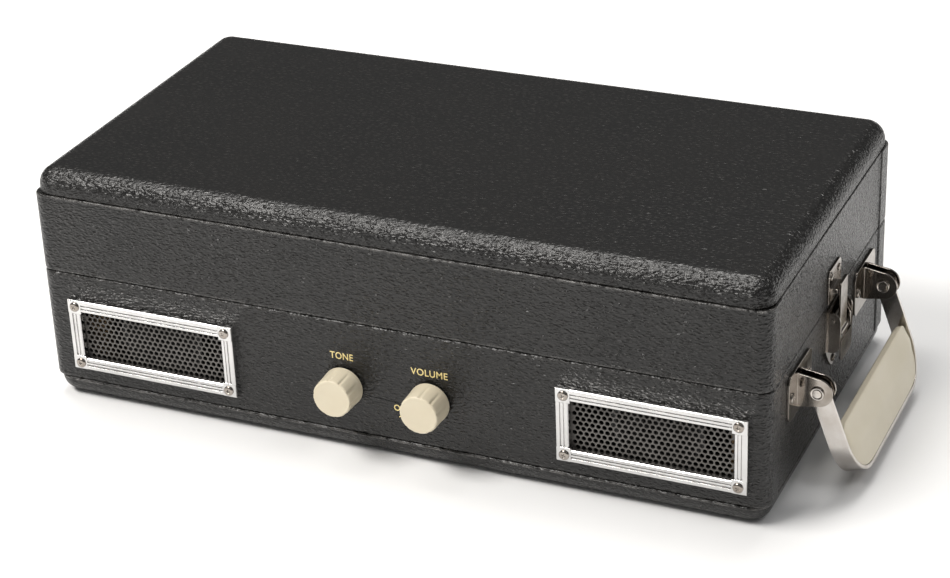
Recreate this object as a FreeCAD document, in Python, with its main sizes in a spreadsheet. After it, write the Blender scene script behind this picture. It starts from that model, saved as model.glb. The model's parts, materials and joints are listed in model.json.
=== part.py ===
import FreeCAD, Part
import math
import os
import re

import Sketcher

# A portable record player shut up like a suitcase. Millimetres, +Z up, origin on the
# surface it stands on, under the middle of the case. +X points at the end with the
# handle and the latch, -Y at the front with the loudspeakers and the two knobs.

doc = FreeCAD.newDocument("record_player")
sheet = doc.addObject("Spreadsheet::Sheet", "Sheet")

SIZES = [
    # the case
    ("case_length", 450.0), ("case_depth", 235.0), ("parting", 84.0), ("seam_gap", 0.4),
    ("floor_thick", 12.5), ("band_top", 133.0), ("case_height", 148.0), ("panel_inset", 1.0),
    ("panel_corner", 12.0), ("panel_round", 11.5), ("wall", 9.0), ("corner_round", 8.5),
    ("corner_return", 20.0), ("side_recess", 0.6), ("joint_gap", 0.2), ("lid_wall", 7.0),
    ("lid_hollow", 7.0), ("pad_radius", 9.0), ("pad_thick", 3.0),
    ("pad_x", 195.0), ("pad_y", 92.0),
    # the deck and what holds it
    ("deck_top", 76.0), ("deck_thick", 2.5), ("deck_gap", 0.4), ("post_side", 16.0),
    # loudspeakers
    ("speaker_x", 155.2), ("speaker_shift", 3.8), ("speaker_z", 45.4), ("bezel_long", 110.0),
    ("bezel_tall", 46.0), ("bezel_proud", 4.0), ("bezel_open_long", 93.5), ("bezel_open_tall", 30.0),
    ("bezel_step", 1.2), ("bezel_edge", 2.4), ("boss_side", 8.6), ("cutout_long", 96.5),
    ("cutout_tall", 36.0), ("grille_sink", 1.0), ("grille_thick", 0.8), ("hole_pitch", 3.5),
    ("hole_radius", 1.35), ("bezel_screw_x", 50.1), ("bezel_screw_z", 18.8),
    ("screw_head", 3.0), ("screw_crown", 1.3), ("basket_radius", 26.8), ("basket_deep", 16.0),
    ("magnet_radius", 18.0), ("magnet_thick", 11.0), ("cone_radius", 23.0),
    # knobs
    ("knob_x", 27.0), ("knob_z", 42.3), ("knob_radius", 12.2), ("knob_face_radius", 11.0),
    ("knob_deep", 16.0), ("knob_gap", 1.0), ("shaft_radius", 3.0), ("shaft_hole", 4.0),
    ("pot_radius", 8.5), ("pot_deep", 9.0), ("running_gap", 0.05), ("flute_radius", 0.9),
    # platter and its drive
    ("spindle_x", -50.0), ("spindle_radius", 3.6), ("spindle_top", 103.0),
    ("shank_radius", 4.5), ("seat_gap", 0.04),
    ("platter_radius", 98.0), ("platter_rim", 3.0), ("platter_top", 85.0),
    ("platter_skin", 2.5), ("platter_low", 78.0), ("hub_radius", 10.0),
    ("mat_radius", 95.0), ("mat_thick", 1.5), ("bearing_radius", 7.0), ("idler_radius", 20.0),
    ("idler_thick", 3.0), ("pulley_radius", 5.0), ("roll_gap", 0.06), ("motor_radius", 21.0),
    ("motor_deep", 26.0), ("idler_turn", 140.0),
    # tonearm
    ("arm_x", 95.4), ("arm_y", 86.0), ("arm_pivot_z", 99.5), ("arm_reach", 182.0),
    ("arm_park", 5.0), ("arm_tube", 3.4), ("turret_radius", 9.5), ("post_radius", 13.0),
    ("rest_reach", 118.0),
    # handle and its brackets
    ("bracket_y", 65.0), ("bracket_long", 42.0), ("bracket_tall", 28.0),
    ("bracket_thick", 1.5), ("bracket_z", 63.2), ("pivot_out", 12.7), ("pivot_y", 67.0),
    ("ear_radius", 8.5), ("ear_root", 10.5), ("ear_thick", 1.4), ("ear_gap", 5.2),
    ("pin_radius", 2.4), ("strap_half", 68.2), ("strap_thick", 2.0), ("strap_wide", 11.0),
    ("strap_drop", 60.0), ("strap_bend", 25.0), ("eye_radius", 5.5), ("grip_in", 25.0),
    ("grip_back", 4.0), ("grip_thick", 10.0), ("grip_round", 4.4), ("grip_gap", 0.1),
    ("handle_lean", 20.0),
    # latch
    ("latch_half", 15.0), ("latch_plate_thick", 1.2), ("cheek_y", 11.2), ("cheek_out", 8.5),
    ("lever_half", 10.5), ("lever_pin_out", 3.6), ("lever_pin_down", 8.0), ("lever_eye", 2.3),
    ("claw_pin_out", 6.0), ("claw_pin_down", 18.0), ("claw_half", 6.5), ("strike_lip", 4.6),
    # hinges
    ("hinge_y", 70.0), ("hinge_long", 42.0), ("barrel_radius", 3.0), ("hinge_out", 3.2),
    ("leaf_tall", 22.0), ("leaf_thick", 1.2), ("hinge_pin", 1.4),
    # sockets at the back
    ("socket_x", 150.0), ("socket_z", 45.0), ("socket_plate_long", 64.0),
    ("socket_plate_tall", 30.0),
]
for row, (alias, value) in enumerate(SIZES, start=1):
    sheet.set(f"A{row}", alias.replace("_", " "))
    sheet.set(f"B{row}", str(value))
    sheet.setAlias(f"B{row}", alias)
doc.recompute()

WORDS = sorted((alias for alias, _ in SIZES), key=len, reverse=True)
WORD = re.compile(r"\b(" + "|".join(WORDS) + r")\b")
V = FreeCAD.Vector
X, Y, Z = V(1, 0, 0), V(0, 1, 0), V(0, 0, 1)
TURN = {
    "Z": FreeCAD.Rotation(Z, 0),
    "X": FreeCAD.Rotation(Y, 90),
    "Y": FreeCAD.Rotation(X, -90),
    "-Y": FreeCAD.Rotation(X, 90),
    "-X": FreeCAD.Rotation(Y, -90),
    "-Z": FreeCAD.Rotation(X, 180),
}
nodes = []


def words(text):
    """A size in the sheet's words, as an expression the document can follow."""
    return WORD.sub(r"Sheet.\1", str(text))


def value(text):
    return float(sheet.evalExpression(words(text)))


def bind(thing, **sizes):
    for name, text in sizes.items():
        thing.setExpression(name, words(text))


def put(thing, x="0", y="0", z="0", turn=None):
    """Place a thing; its position follows the sheet."""
    if turn is not None:
        thing.Placement = FreeCAD.Placement(V(), turn)
    for letter, text in (("x", x), ("y", y), ("z", z)):
        thing.setExpression(f"Placement.Base.{letter}", words(text))
    return thing


def box(name, x, y, z):
    """A block between two planes on each axis."""
    block = doc.addObject("Part::Box", name)
    bind(block, Length=f"({x[1]}) - ({x[0]})", Width=f"({y[1]}) - ({y[0]})",
         Height=f"({z[1]}) - ({z[0]})")
    return put(block, x[0], y[0], z[0])


def rod(name, at, radius, length, way="Z"):
    """A round bar that starts at a point and runs along one axis."""
    bar = doc.addObject("Part::Cylinder", name)
    bind(bar, Radius=radius, Height=length)
    return put(bar, *at, turn=TURN[way])


def joined(name, things):
    whole = doc.addObject("Part::MultiFuse", name)
    whole.Shapes = things
    return whole


def less(name, base, tools):
    left = doc.addObject("Part::Cut", name)
    left.Base = base
    left.Tool = tools[0] if len(tools) == 1 else joined(name + "_tools", tools)
    return left


def group(name, things):
    """Separate solids that make one sub-part."""
    whole = doc.addObject("Part::Compound", name)
    whole.Links = things
    return whole


def node(thing, name):
    thing.Label = name
    nodes.append(thing)
    return thing


def new_body(name):
    return doc.addObject("PartDesign::Body", name)


def sketch(body, plane, loops, offset="0"):
    """A sketch of closed loops: lists of (u, v) corners, or ("round", u, v, radius)."""
    drawing = body.newObject("Sketcher::SketchObject", body.Name + "_sketch")
    origin = [f for f in body.Origin.OriginFeatures if f.Role == plane + "_Plane"][0]
    drawing.AttachmentSupport = [(origin, "")]
    drawing.MapMode = "FlatFace"
    drawing.setExpression("AttachmentOffset.Base.z", words(offset))
    for loop in loops:
        if loop[0] == "round":
            circle = Part.Circle(V(value(loop[1]), value(loop[2]), 0), Z, value(loop[3]))
            first = drawing.addGeometry(circle, False)
            pins = [("DistanceX", -1, 1, first, 3, loop[1]), ("DistanceY", -1, 1, first, 3, loop[2])]
            for kind, a, b, c, d, text in pins:
                number = drawing.addConstraint(Sketcher.Constraint(kind, a, b, c, d, value(text)))
                drawing.setExpression(f"Constraints[{number}]", words(text))
            number = drawing.addConstraint(Sketcher.Constraint("Radius", first, value(loop[3])))
            drawing.setExpression(f"Constraints[{number}]", words(loop[3]))
            continue
        corners = [V(value(u), value(v), 0) for u, v in loop]
        ends = corners[1:] + corners[:1]
        lines = [drawing.addGeometry(Part.LineSegment(a, b), False) for a, b in zip(corners, ends)]
        for here, after in zip(lines, lines[1:] + lines[:1]):
            drawing.addConstraint(Sketcher.Constraint("Coincident", here, 2, after, 1))
        for line, (u, v) in zip(lines, loop):
            for kind, text in (("DistanceX", u), ("DistanceY", v)):
                number = drawing.addConstraint(
                    Sketcher.Constraint(kind, -1, 1, line, 1, value(text)))
                drawing.setExpression(f"Constraints[{number}]", words(text))
    return drawing


def pad(body, drawing, length, back=False, middle=False):
    feature = body.newObject("PartDesign::Pad", body.Name + "_pad")
    feature.Profile = drawing
    feature.Reversed = back
    feature.Midplane = middle
    bind(feature, Length=length)
    doc.recompute()
    return feature


def pocket(body, drawing, length, back=False, middle=False):
    """Cut a drawing into a body, and stop if nothing was cut."""
    before = body.Shape.Volume
    feature = body.newObject("PartDesign::Pocket", body.Name + "_pocket")
    feature.Profile = drawing
    feature.Reversed = back
    feature.Midplane = middle
    bind(feature, Length=length)
    doc.recompute()
    if body.Shape.Volume > before - 1e-3:
        raise RuntimeError(body.Name + ": a pocket cuts nothing")
    return feature


def turned(body, drawing, axis="V_Axis"):
    feature = body.newObject("PartDesign::Revolution", body.Name + "_turn")
    feature.Profile = drawing
    feature.ReferenceAxis = (drawing, [axis])
    feature.Angle = 360
    doc.recompute()
    return feature


def straight(edge, axis):
    """True for a straight edge that runs along one axis."""
    if edge.Curve.TypeId != "Part::GeomLine":
        return False
    return abs(abs(edge.tangentAt(edge.FirstParameter).dot(axis)) - 1) < 1e-6


def soften(body, radius, test, kind="Fillet"):
    """Round (or chamfer) the edges of the newest feature that pass a test."""
    tip = body.Tip
    names = [f"Edge{i}" for i, edge in enumerate(tip.Shape.Edges, start=1) if test(edge)]
    if not names:
        raise RuntimeError(body.Name + ": no edge to soften")
    feature = body.newObject("PartDesign::" + kind, body.Name + "_" + kind.lower())
    feature.Base = (tip, names)
    if kind == "Fillet":
        bind(feature, Radius=radius)
    else:
        bind(feature, Size=radius)
    doc.recompute()
    return feature


def rectangle(u0, u1, v0, v1):
    return [(u0, v0), (u1, v0), (u1, v1), (u0, v1)]


def middle_of(edge):
    return edge.valueAt((edge.FirstParameter + edge.LastParameter) / 2)


# ---- the case: floor, walls, lid ------------------------------------------------------

def panel(name, low, high, round_low, hollow, set_back):
    """A flat panel with rounded corners and one long rounded rim."""
    body = new_body(name)
    outline = rectangle("-case_length / 2 + panel_inset", "case_length / 2 - panel_inset",
                        f"-case_depth / 2 + {set_back}", f"case_depth / 2 - {set_back}")
    pad(body, sketch(body, "XY", [outline], low), f"({high}) - ({low})")
    soften(body, "panel_corner", lambda e: straight(e, Z))
    level = value(low) if round_low else value(high)
    soften(body, "panel_round", lambda e: abs(middle_of(e).z - level) < 1e-3
           and abs(e.valueAt(e.FirstParameter).z - level) < 1e-3)
    if hollow:
        inner = rectangle("-case_length / 2 + 20", "case_length / 2 - 20",
                          "-case_depth / 2 + 20", "case_depth / 2 - 20")
        pocket(body, sketch(body, "XY", [inner], low), hollow, back=True)
    return body


base_floor = panel("base_floor", "0", "floor_thick", True, None, "0")
pads = [("round", f"{i} * pad_x", f"{j} * pad_y", "pad_radius + joint_gap")
        for i in (-1, 1) for j in (-1, 1)]
pocket(base_floor, sketch(base_floor, "XY", pads), "pad_thick", back=True)
node(base_floor, "base_floor")
node(group("foot_pads_group", [
    rod(f"foot_pad_{i}{j}", (f"{i} * pad_x", f"{j} * pad_y", "0"), "pad_radius", "pad_thick - 0.1")
    for i in (-1, 1) for j in (-1, 1)]), "foot_pads")
node(panel("lid_top", "band_top", "case_height", False, "lid_hollow", "panel_inset"), "lid_top")


def long_wall(name, side, low, high, thick):
    """A front or back wall whose ends turn the corners of the case."""
    body = new_body(name)
    s = str(side)
    outer = f"{s} * case_depth / 2"
    inner = f"{s} * (case_depth / 2 - {thick})"
    end = f"{s} * (case_depth / 2 - corner_return)"
    half = "case_length / 2"
    step = f"case_length / 2 - side_recess - {thick}"
    outline = [("-" + half, outer), (half, outer), (half, end), (step, end), (step, inner),
               (f"-({step})", inner), (f"-({step})", end), ("-" + half, end)]
    pad(body, sketch(body, "XY", [outline], low), f"({high}) - ({low})")
    y_out = value(outer)
    soften(body, "corner_round", lambda e: straight(e, Z) and abs(middle_of(e).y - y_out) < 1e-3)
    return body


def end_wall(name, side, low, high, thick):
    """A side wall, set back a little between the two corner returns."""
    body = new_body(name)
    out = f"{side} * (case_length / 2 - side_recess)"
    inn = f"{side} * (case_length / 2 - side_recess - {thick})"
    reach = "case_depth / 2 - corner_return - joint_gap"
    outline = [(out, "-(" + reach + ")"), (out, reach), (inn, reach), (inn, "-(" + reach + ")")]
    pad(body, sketch(body, "XY", [outline], low), f"({high}) - ({low})")
    return body


BASE = ("floor_thick", "parting - seam_gap / 2", "wall")
LID = ("parting + seam_gap / 2", "band_top", "lid_wall")
base_front = long_wall("base_front", -1, *BASE)
base_back = long_wall("base_back", 1, *BASE)
base_left = end_wall("base_left", -1, *BASE)
base_right = end_wall("base_right", 1, *BASE)
lid_front = long_wall("lid_front", -1, *LID)
lid_back = long_wall("lid_back", 1, *LID)
lid_left = end_wall("lid_left", -1, *LID)
lid_right = end_wall("lid_right", 1, *LID)

holes = []
for side in (-1, 1):
    holes.append(rectangle(f"{side} * speaker_x + speaker_shift - cutout_long / 2",
                           f"{side} * speaker_x + speaker_shift + cutout_long / 2",
                           "speaker_z - cutout_tall / 2", "speaker_z + cutout_tall / 2"))
    holes.append(("round", f"{side} * knob_x", "knob_z", "shaft_hole"))
pocket(base_front, sketch(base_front, "XZ", holes, "case_depth / 2"), "wall + 1")
socket_hole = rectangle("socket_x - socket_plate_long / 2 + 5", "socket_x + socket_plate_long / 2 - 5",
                        "socket_z - socket_plate_tall / 2 + 5", "socket_z + socket_plate_tall / 2 - 5")
pocket(base_back, sketch(base_back, "XZ", [socket_hole], "-case_depth / 2"), "wall + 1", back=True)
for wall_body in (base_front, base_back, base_left, base_right,
                  lid_front, lid_back, lid_left, lid_right):
    node(wall_body, wall_body.Name)

# ---- the deck plate and its posts -----------------------------------------------------

deck = new_body("deck_plate")
notch_x = "case_length / 2 - side_recess - wall - deck_gap"
notch_y = "case_depth / 2 - wall - deck_gap"
pad(deck, sketch(deck, "XY", [rectangle(f"-({notch_x})", notch_x, f"-({notch_y})", notch_y)],
                 "deck_top - deck_thick"), "deck_thick")
idler_x = "(spindle_x + (platter_radius - platter_rim - idler_radius - roll_gap) * cos(idler_turn))"
idler_y = "((platter_radius - platter_rim - idler_radius - roll_gap) * sin(idler_turn))"
motor_x = "(spindle_x + (platter_radius - platter_rim - 2 * idler_radius - pulley_radius" \
          " - 2 * roll_gap) * cos(idler_turn))"
motor_y = "((platter_radius - platter_rim - 2 * idler_radius - pulley_radius - 2 * roll_gap)" \
          " * sin(idler_turn))"
pocket(deck, sketch(deck, "XY", [
    ("round", "spindle_x", "0", "bearing_radius + joint_gap"),
    ("round", motor_x, motor_y, "pulley_radius + 3"),
    ("round", "arm_x", "arm_y", "5"),
    rectangle("168.5", "173.5", "44", "62"),
], "deck_top"), "deck_thick + 1")
node(deck, "deck_plate")
node(group("deck_posts_group", [
    box(f"deck_post_{i}{j}",
        (f"{i} * 205 - post_side / 2", f"{i} * 205 + post_side / 2"),
        (f"{j} * 93 - post_side / 4", f"{j} * 93 + post_side / 4"),
        ("floor_thick", "deck_top - deck_thick"))
    for i in (-1, 1) for j in (-1, 1)]), "deck_posts")

# ---- loudspeakers: bezels, grilles, drivers, screws ------------------------------------

def bezel(name, side):
    """A stepped metal frame with a square boss for a screw in each corner."""
    body = new_body(name)
    long, tall = "bezel_long / 2", "bezel_tall / 2"
    pad(body, sketch(body, "XZ", [rectangle("-" + long, long, "-" + tall, tall)]), "bezel_proud")
    soften(body, "1.2", lambda e: straight(e, Y))
    y_face = -value("bezel_proud")
    soften(body, "0.8", lambda e: abs(e.valueAt(e.FirstParameter).y - y_face) < 1e-3
           and abs(middle_of(e).y - y_face) < 1e-3, kind="Chamfer")
    open_long, open_tall = "bezel_open_long / 2", "bezel_open_tall / 2"
    pocket(body, sketch(body, "XZ", [rectangle("-" + open_long, open_long, "-" + open_tall,
                                               open_tall)], "bezel_proud"), "bezel_proud + 1")
    troughs = []
    for up in (-1, 1):
        troughs.append(rectangle(f"-({long} - bezel_edge - boss_side)", f"{long} - bezel_edge - boss_side",
                                 f"{up} * ({tall} - bezel_edge)", f"{up} * ({open_tall} + 1.6)"))
        troughs.append(rectangle(f"{up} * ({long} - bezel_edge)", f"{up} * ({open_long} + 1.6)",
                                 f"-({tall} - bezel_edge - boss_side)",
                                 f"{tall} - bezel_edge - boss_side"))
    pocket(body, sketch(body, "XZ", troughs, "bezel_proud"), "bezel_step")
    put(body, f"{side} * speaker_x + speaker_shift", "-case_depth / 2", "speaker_z")
    return body


def grille(name, side):
    """A thin sheet with staggered round holes."""
    pitch, radius = value("hole_pitch"), value("hole_radius")
    long, tall = value("cutout_long - 1"), value("cutout_tall - 1")
    thick = value("grille_thick")
    sheet_metal = Part.makeBox(long, thick, tall, V(-long / 2, 0, -tall / 2))
    rise = pitch * math.sqrt(3) / 2
    rows = int((tall / 2 - 2.2) / rise)
    punched = []
    for row in range(-rows, rows + 1):
        shift = pitch / 2 if row % 2 else 0
        count = int((long / 2 - 2.2 - abs(shift)) / pitch)
        for column in range(-count - (1 if row % 2 else 0), count + 1):
            punched.append(Part.makeCylinder(
                radius, thick + 2, V(column * pitch + shift, -1, row * rise), Y))
    shape = sheet_metal.cut(Part.makeCompound(punched))
    part = doc.addObject("Part::Feature", name)
    part.Shape = shape.Solids[0]
    return put(part, f"{side} * speaker_x + speaker_shift", "-case_depth / 2 + grille_sink", "speaker_z")


def driver(name, side):
    """The pressed basket and the magnet of one loudspeaker, seen as one turned solid."""
    body = new_body(name)
    ring = "basket_radius"
    outline = [(ring, "0"), (ring, "-2"), ("magnet_radius + 2", "-basket_deep"),
               ("magnet_radius", "-basket_deep"), ("magnet_radius", "-basket_deep - magnet_thick"),
               ("0", "-basket_deep - magnet_thick"), ("0", "-basket_deep + 2"),
               ("magnet_radius", "-basket_deep + 2"), ("basket_radius - 3", "-2"),
               ("basket_radius - 3", "0")]
    turned(body, sketch(body, "XY", [outline]))
    body.Placement = FreeCAD.Placement(V(), TURN["-Z"])
    for letter, text in (("x", f"{side} * speaker_x + speaker_shift"), ("y", "-case_depth / 2 + wall + 0.1"),
                         ("z", "speaker_z")):
        body.setExpression(f"Placement.Base.{letter}", words(text))
    return body


def cone(name, side):
    """The paper cone with its dust cap."""
    body = new_body(name)
    outline = [("cone_radius", "-0.6"), ("cone_radius", "-1.6"), ("7", "-11"), ("0", "-9"),
               ("0", "-7.8"), ("6.4", "-9.6")]
    turned(body, sketch(body, "XY", [outline]))
    body.Placement = FreeCAD.Placement(V(), TURN["-Z"])
    for letter, text in (("x", f"{side} * speaker_x + speaker_shift"), ("y", "-case_depth / 2 + wall + 0.1"),
                         ("z", "speaker_z")):
        body.setExpression(f"Placement.Base.{letter}", words(text))
    return body


def screw(name, at, way, head="screw_head", crown="screw_crown"):
    """A raised screw head with a cross recess, standing on a surface."""
    head_disc = rod(name + "_head", at, head, crown, way)
    letter = "XYZ".index(way[-1])
    sign = -1 if way.startswith("-") else 1
    others = [i for i in range(3) if i != letter]
    bars = []
    for index, turn in enumerate(others):
        spans = [None, None, None]
        spans[letter] = sorted_span(at[letter], sign, crown)
        for other in others:
            reach = f"({head}) * 0.6" if other == turn else f"({head}) * 0.16"
            spans[other] = (f"({at[other]}) - {reach}", f"({at[other]}) + {reach}")
        bars.append(box(f"{name}_slot{index}", *spans))
    return less(name, head_disc, bars)


def sorted_span(start, sign, crown):
    """The outer part of a screw head, between half its height and just past its top."""
    inner = f"({start}) + {sign} * 0.5 * ({crown})"
    outer = f"({start}) + {sign} * 1.2 * ({crown})"
    return (inner, outer) if sign > 0 else (outer, inner)


for side, word in ((-1, "left"), (1, "right")):
    node(bezel("bezel_" + word, side), "bezel_" + word)
    node(grille("grille_" + word, side), "grille_" + word)
node(group("bezel_screws_group", [
    screw(f"bezel_screw_{a}{b}{c}",
          (f"{a} * speaker_x + speaker_shift + {b} * bezel_screw_x", "-case_depth / 2 - bezel_proud",
           f"speaker_z + {c} * bezel_screw_z"), "-Y")
    for a in (-1, 1) for b in (-1, 1) for c in (-1, 1)]), "bezel_screws")
node(group("speaker_frames_group", [driver("driver_left", -1), driver("driver_right", 1)]),
     "speaker_frames")
node(group("speaker_cones_group", [cone("cone_left", -1), cone("cone_right", 1)]),
     "speaker_cones")

# ---- the two knobs, their shafts and the controls behind them --------------------------

for side, word in ((-1, "tone"), (1, "volume")):
    knob = new_body(word + "_knob")
    turned(knob, sketch(knob, "XY", [[
        ("shaft_radius", "-knob_gap"), ("knob_radius", "-knob_gap"),
        ("knob_radius", "-knob_gap - 3"), ("knob_face_radius", "-knob_gap - knob_deep + 1.2"),
        ("knob_face_radius - 1.2", "-knob_gap - knob_deep"), ("0", "-knob_gap - knob_deep"),
        ("0", "-knob_gap - knob_deep + 4"), ("shaft_radius", "-knob_gap - knob_deep + 4")]]))
    flutes = [("round", f"(knob_radius + 0.25) * cos({angle})",
               f"(knob_radius + 0.25) * sin({angle})", "flute_radius")
              for angle in range(0, 360, 36)]
    pocket(knob, sketch(knob, "XZ", flutes, "knob_gap + 3"), "knob_deep", back=True)
    put(knob, f"{side} * knob_x", "-case_depth / 2", "knob_z")
    node(knob, word + "_knob")
    node(rod(word + "_shaft", (f"{side} * knob_x", "-case_depth / 2 + wall + 4", "knob_z"),
             "shaft_radius", "wall + 4 + knob_gap + knob_deep - 4", "-Y"), word + "_shaft")

pots = []
for side, word in ((-1, "tone"), (1, "volume")):
    can = rod(word + "_can", (f"{side} * knob_x", "-case_depth / 2 + wall + 0.1", "knob_z"),
              "pot_radius", "pot_deep", "Y")
    bush = rod(word + "_bush", (f"{side} * knob_x", "-case_depth / 2 + 1", "knob_z"),
               "shaft_hole - 0.1", "wall", "Y")
    bore = rod(word + "_bore", (f"{side} * knob_x", "-case_depth / 2 - 1", "knob_z"),
               "shaft_radius + running_gap", "wall + 6", "Y")
    pots.append(less(word + "_pot", joined(word + "_pot_whole", [can, bush]), [bore]))
node(group("potentiometers_group", pots), "potentiometers")

# ---- platter, spindle, idler, motor ----------------------------------------------------

platter = new_body("platter")
turned(platter, sketch(platter, "XZ", [[
    ("shank_radius + seat_gap", "platter_low"), ("hub_radius", "platter_low"),
    ("hub_radius", "platter_top - platter_skin"),
    ("platter_radius - platter_rim", "platter_top - platter_skin"),
    ("platter_radius - platter_rim", "platter_low"), ("platter_radius - 1", "platter_low"),
    ("platter_radius", "platter_low + 1"), ("platter_radius", "platter_top - 1"),
    ("platter_radius - 1", "platter_top"), ("shank_radius + seat_gap", "platter_top")]]))
put(platter, "spindle_x")
node(platter, "platter")
mat = new_body("platter_mat")
turned(mat, sketch(mat, "XZ", [[
    ("shank_radius + seat_gap", "platter_top"), ("mat_radius", "platter_top"),
    ("mat_radius", "platter_top + mat_thick"), ("49", "platter_top + mat_thick"),
    ("49", "platter_top + mat_thick - 0.6"), ("46", "platter_top + mat_thick - 0.6"),
    ("46", "platter_top + mat_thick"), ("shank_radius + seat_gap", "platter_top + mat_thick")]]))
put(mat, "spindle_x")
node(mat, "platter_mat")
spindle = new_body("spindle")
turned(spindle, sketch(spindle, "XZ", [[
    ("0", "deck_top - 12"), ("shank_radius", "deck_top - 12"),
    ("shank_radius", "platter_top + mat_thick"), ("spindle_radius", "platter_top + mat_thick"),
    ("spindle_radius", "spindle_top - 2"), ("spindle_radius - 1.6", "spindle_top"),
    ("0", "spindle_top")]]))
put(spindle, "spindle_x")
node(spindle, "spindle")
bearing = new_body("bearing")
turned(bearing, sketch(bearing, "XZ", [[
    ("shank_radius + running_gap", "deck_top + 1.6"), ("bearing_radius", "deck_top + 1.6"),
    ("bearing_radius", "deck_top - deck_thick - 0.1"), ("14", "deck_top - deck_thick - 0.1"),
    ("14", "deck_top - deck_thick - 2"), ("bearing_radius", "deck_top - deck_thick - 2"),
    ("bearing_radius", "deck_top - 16"), ("0", "deck_top - 16"), ("0", "deck_top - 12.2"),
    ("shank_radius + running_gap", "deck_top - 12.2")]]))
put(bearing, "spindle_x")
node(bearing, "bearing")

wheel = rod("idler_tyre", (idler_x, idler_y, "platter_low + 0.6"), "idler_radius", "idler_thick")
wheel_hole = rod("idler_hole", (idler_x, idler_y, "platter_low"), "2 + running_gap", "9")
node(less("idler_wheel", wheel, [wheel_hole]), "idler_wheel")
stud = rod("stud_rod", (idler_x, idler_y, "deck_top"), "2", "platter_low - deck_top + 4.1")
stud_foot = rod("stud_foot", (idler_x, idler_y, "deck_top + 0.05"), "5", "platter_low - deck_top + 0.4")
node(joined("idler_stud", [stud, stud_foot]), "idler_stud")
pulley = rod("pulley_wheel", (motor_x, motor_y, "platter_low - 1"), "pulley_radius", "5")
pulley_shaft = rod("pulley_shaft", (motor_x, motor_y, "deck_top - deck_thick - 8"), "1.5", "12")
node(joined("motor_pulley", [pulley, pulley_shaft]), "motor_pulley")
can = rod("motor_can", (motor_x, motor_y, "deck_top - deck_thick - 0.2"), "motor_radius",
          "motor_deep", "-Z")
nose = rod("motor_hole", (motor_x, motor_y, "deck_top - deck_thick - 9"),
           "1.5 + running_gap", "12")
node(less("motor", can, [nose]), "motor")

# ---- the tonearm, its post, rest and controls ------------------------------------------

PARK = FreeCAD.Rotation(Z, value("arm_park"))
along_x = "sin(arm_park)"
along_y = "-cos(arm_park)"
post = rod("arm_foot", ("arm_x", "arm_y", "deck_top"), "post_radius", "5")
neck = rod("arm_neck", ("arm_x", "arm_y", "deck_top"), "8", "arm_pivot_z - 12.5 - deck_top")
neck_bore = rod("arm_neck_bore", ("arm_x", "arm_y", "deck_top + 2"), "3 + running_gap", "12")
node(less("arm_post", joined("arm_post_whole", [post, neck]), [neck_bore]), "arm_post")

turret = new_body("arm_turret")
turned(turret, sketch(turret, "XZ", [[
    ("0", "-18.5"), ("3", "-18.5"), ("3", "-12.3"), ("turret_radius", "-12.3"),
    ("turret_radius", "-7"), ("0", "-7")]]))
cheeks = [rectangle("5.6", "7.8", "-4.5", "4.5"), rectangle("-7.8", "-5.6", "-4.5", "4.5")]
pad(turret, sketch(turret, "XY", cheeks, "-7.2"), "11.7")
soften(turret, "3", lambda e: straight(e, X) and middle_of(e).z > 4)
pocket(turret, sketch(turret, "YZ", [("round", "0", "0", "1.2 + running_gap")], "-10"), "20",
       back=True)
put(turret, "arm_x", "arm_y", "arm_pivot_z", turn=PARK)
node(turret, "arm_turret")

arm = new_body("tonearm")
pad(arm, sketch(arm, "XZ", [("round", "0", "0", "arm_tube")], "-14"), "arm_reach - 10")
shell = [("-4", "-(arm_reach - 32)"), ("4", "-(arm_reach - 32)"), ("8", "-(arm_reach - 22)"),
         ("7.5", "-(arm_reach + 7)"), ("-7.5", "-(arm_reach + 7)"), ("-8", "-(arm_reach - 22)")]
pad(arm, sketch(arm, "XY", [shell], "-arm_tube"), "5.5")
soften(arm, "1.2", lambda e: abs(middle_of(e).z - value("5.5 - arm_tube")) < 1e-3
       and middle_of(e).y < -value("arm_reach - 24"))
pad(arm, sketch(arm, "XY", [rectangle("-4.9", "4.9", "-5", "13")], "-4.4"), "8.8")
soften(arm, "1.4", lambda e: straight(e, Y) and abs(abs(middle_of(e).x) - 4.9) < 1e-3)
pad(arm, sketch(arm, "YZ", [("round", "0", "0", "1.2")], "-7.7"), "15.4")
put(arm, "arm_x", "arm_y", "arm_pivot_z", turn=PARK)
node(arm, "tonearm")

cartridge = new_body("cartridge")
pad(cartridge, sketch(cartridge, "XY", [rectangle("-6", "6", "-(arm_reach + 4)", "-(arm_reach - 14)")],
                      "-arm_tube - 5.1"), "5")
pad(cartridge, sketch(cartridge, "YZ", [[("-(arm_reach - 9)", "-arm_tube - 4.9"),
                                         ("-arm_reach", "-arm_tube - 8"),
                                         ("-(arm_reach + 2)", "-arm_tube - 4.9")]], "-1.5"), "3")
put(cartridge, "arm_x", "arm_y", "arm_pivot_z", turn=PARK)
node(cartridge, "cartridge")

rest_x = f"arm_x + rest_reach * {along_x}"
rest_y = f"arm_y + rest_reach * ({along_y})"
rest = new_body("arm_rest")
pad(rest, sketch(rest, "XY", [("round", "0", "0", "6")], "deck_top"), "2")
pad(rest, sketch(rest, "XY", [("round", "0", "0", "3")], "deck_top"), "arm_pivot_z - deck_top - 7")
fork = [("-6.5", "arm_pivot_z - 8.5"), ("6.5", "arm_pivot_z - 8.5"), ("6.5", "arm_pivot_z + 3"),
        ("4.2", "arm_pivot_z + 3"), ("4.2", "arm_pivot_z - arm_tube - 0.3"),
        ("-4.2", "arm_pivot_z - arm_tube - 0.3"), ("-4.2", "arm_pivot_z + 3"),
        ("-6.5", "arm_pivot_z + 3")]
pad(rest, sketch(rest, "XZ", [fork]), "7", middle=True)
put(rest, rest_x, rest_y, "0", turn=PARK)
node(rest, "arm_rest")

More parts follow.
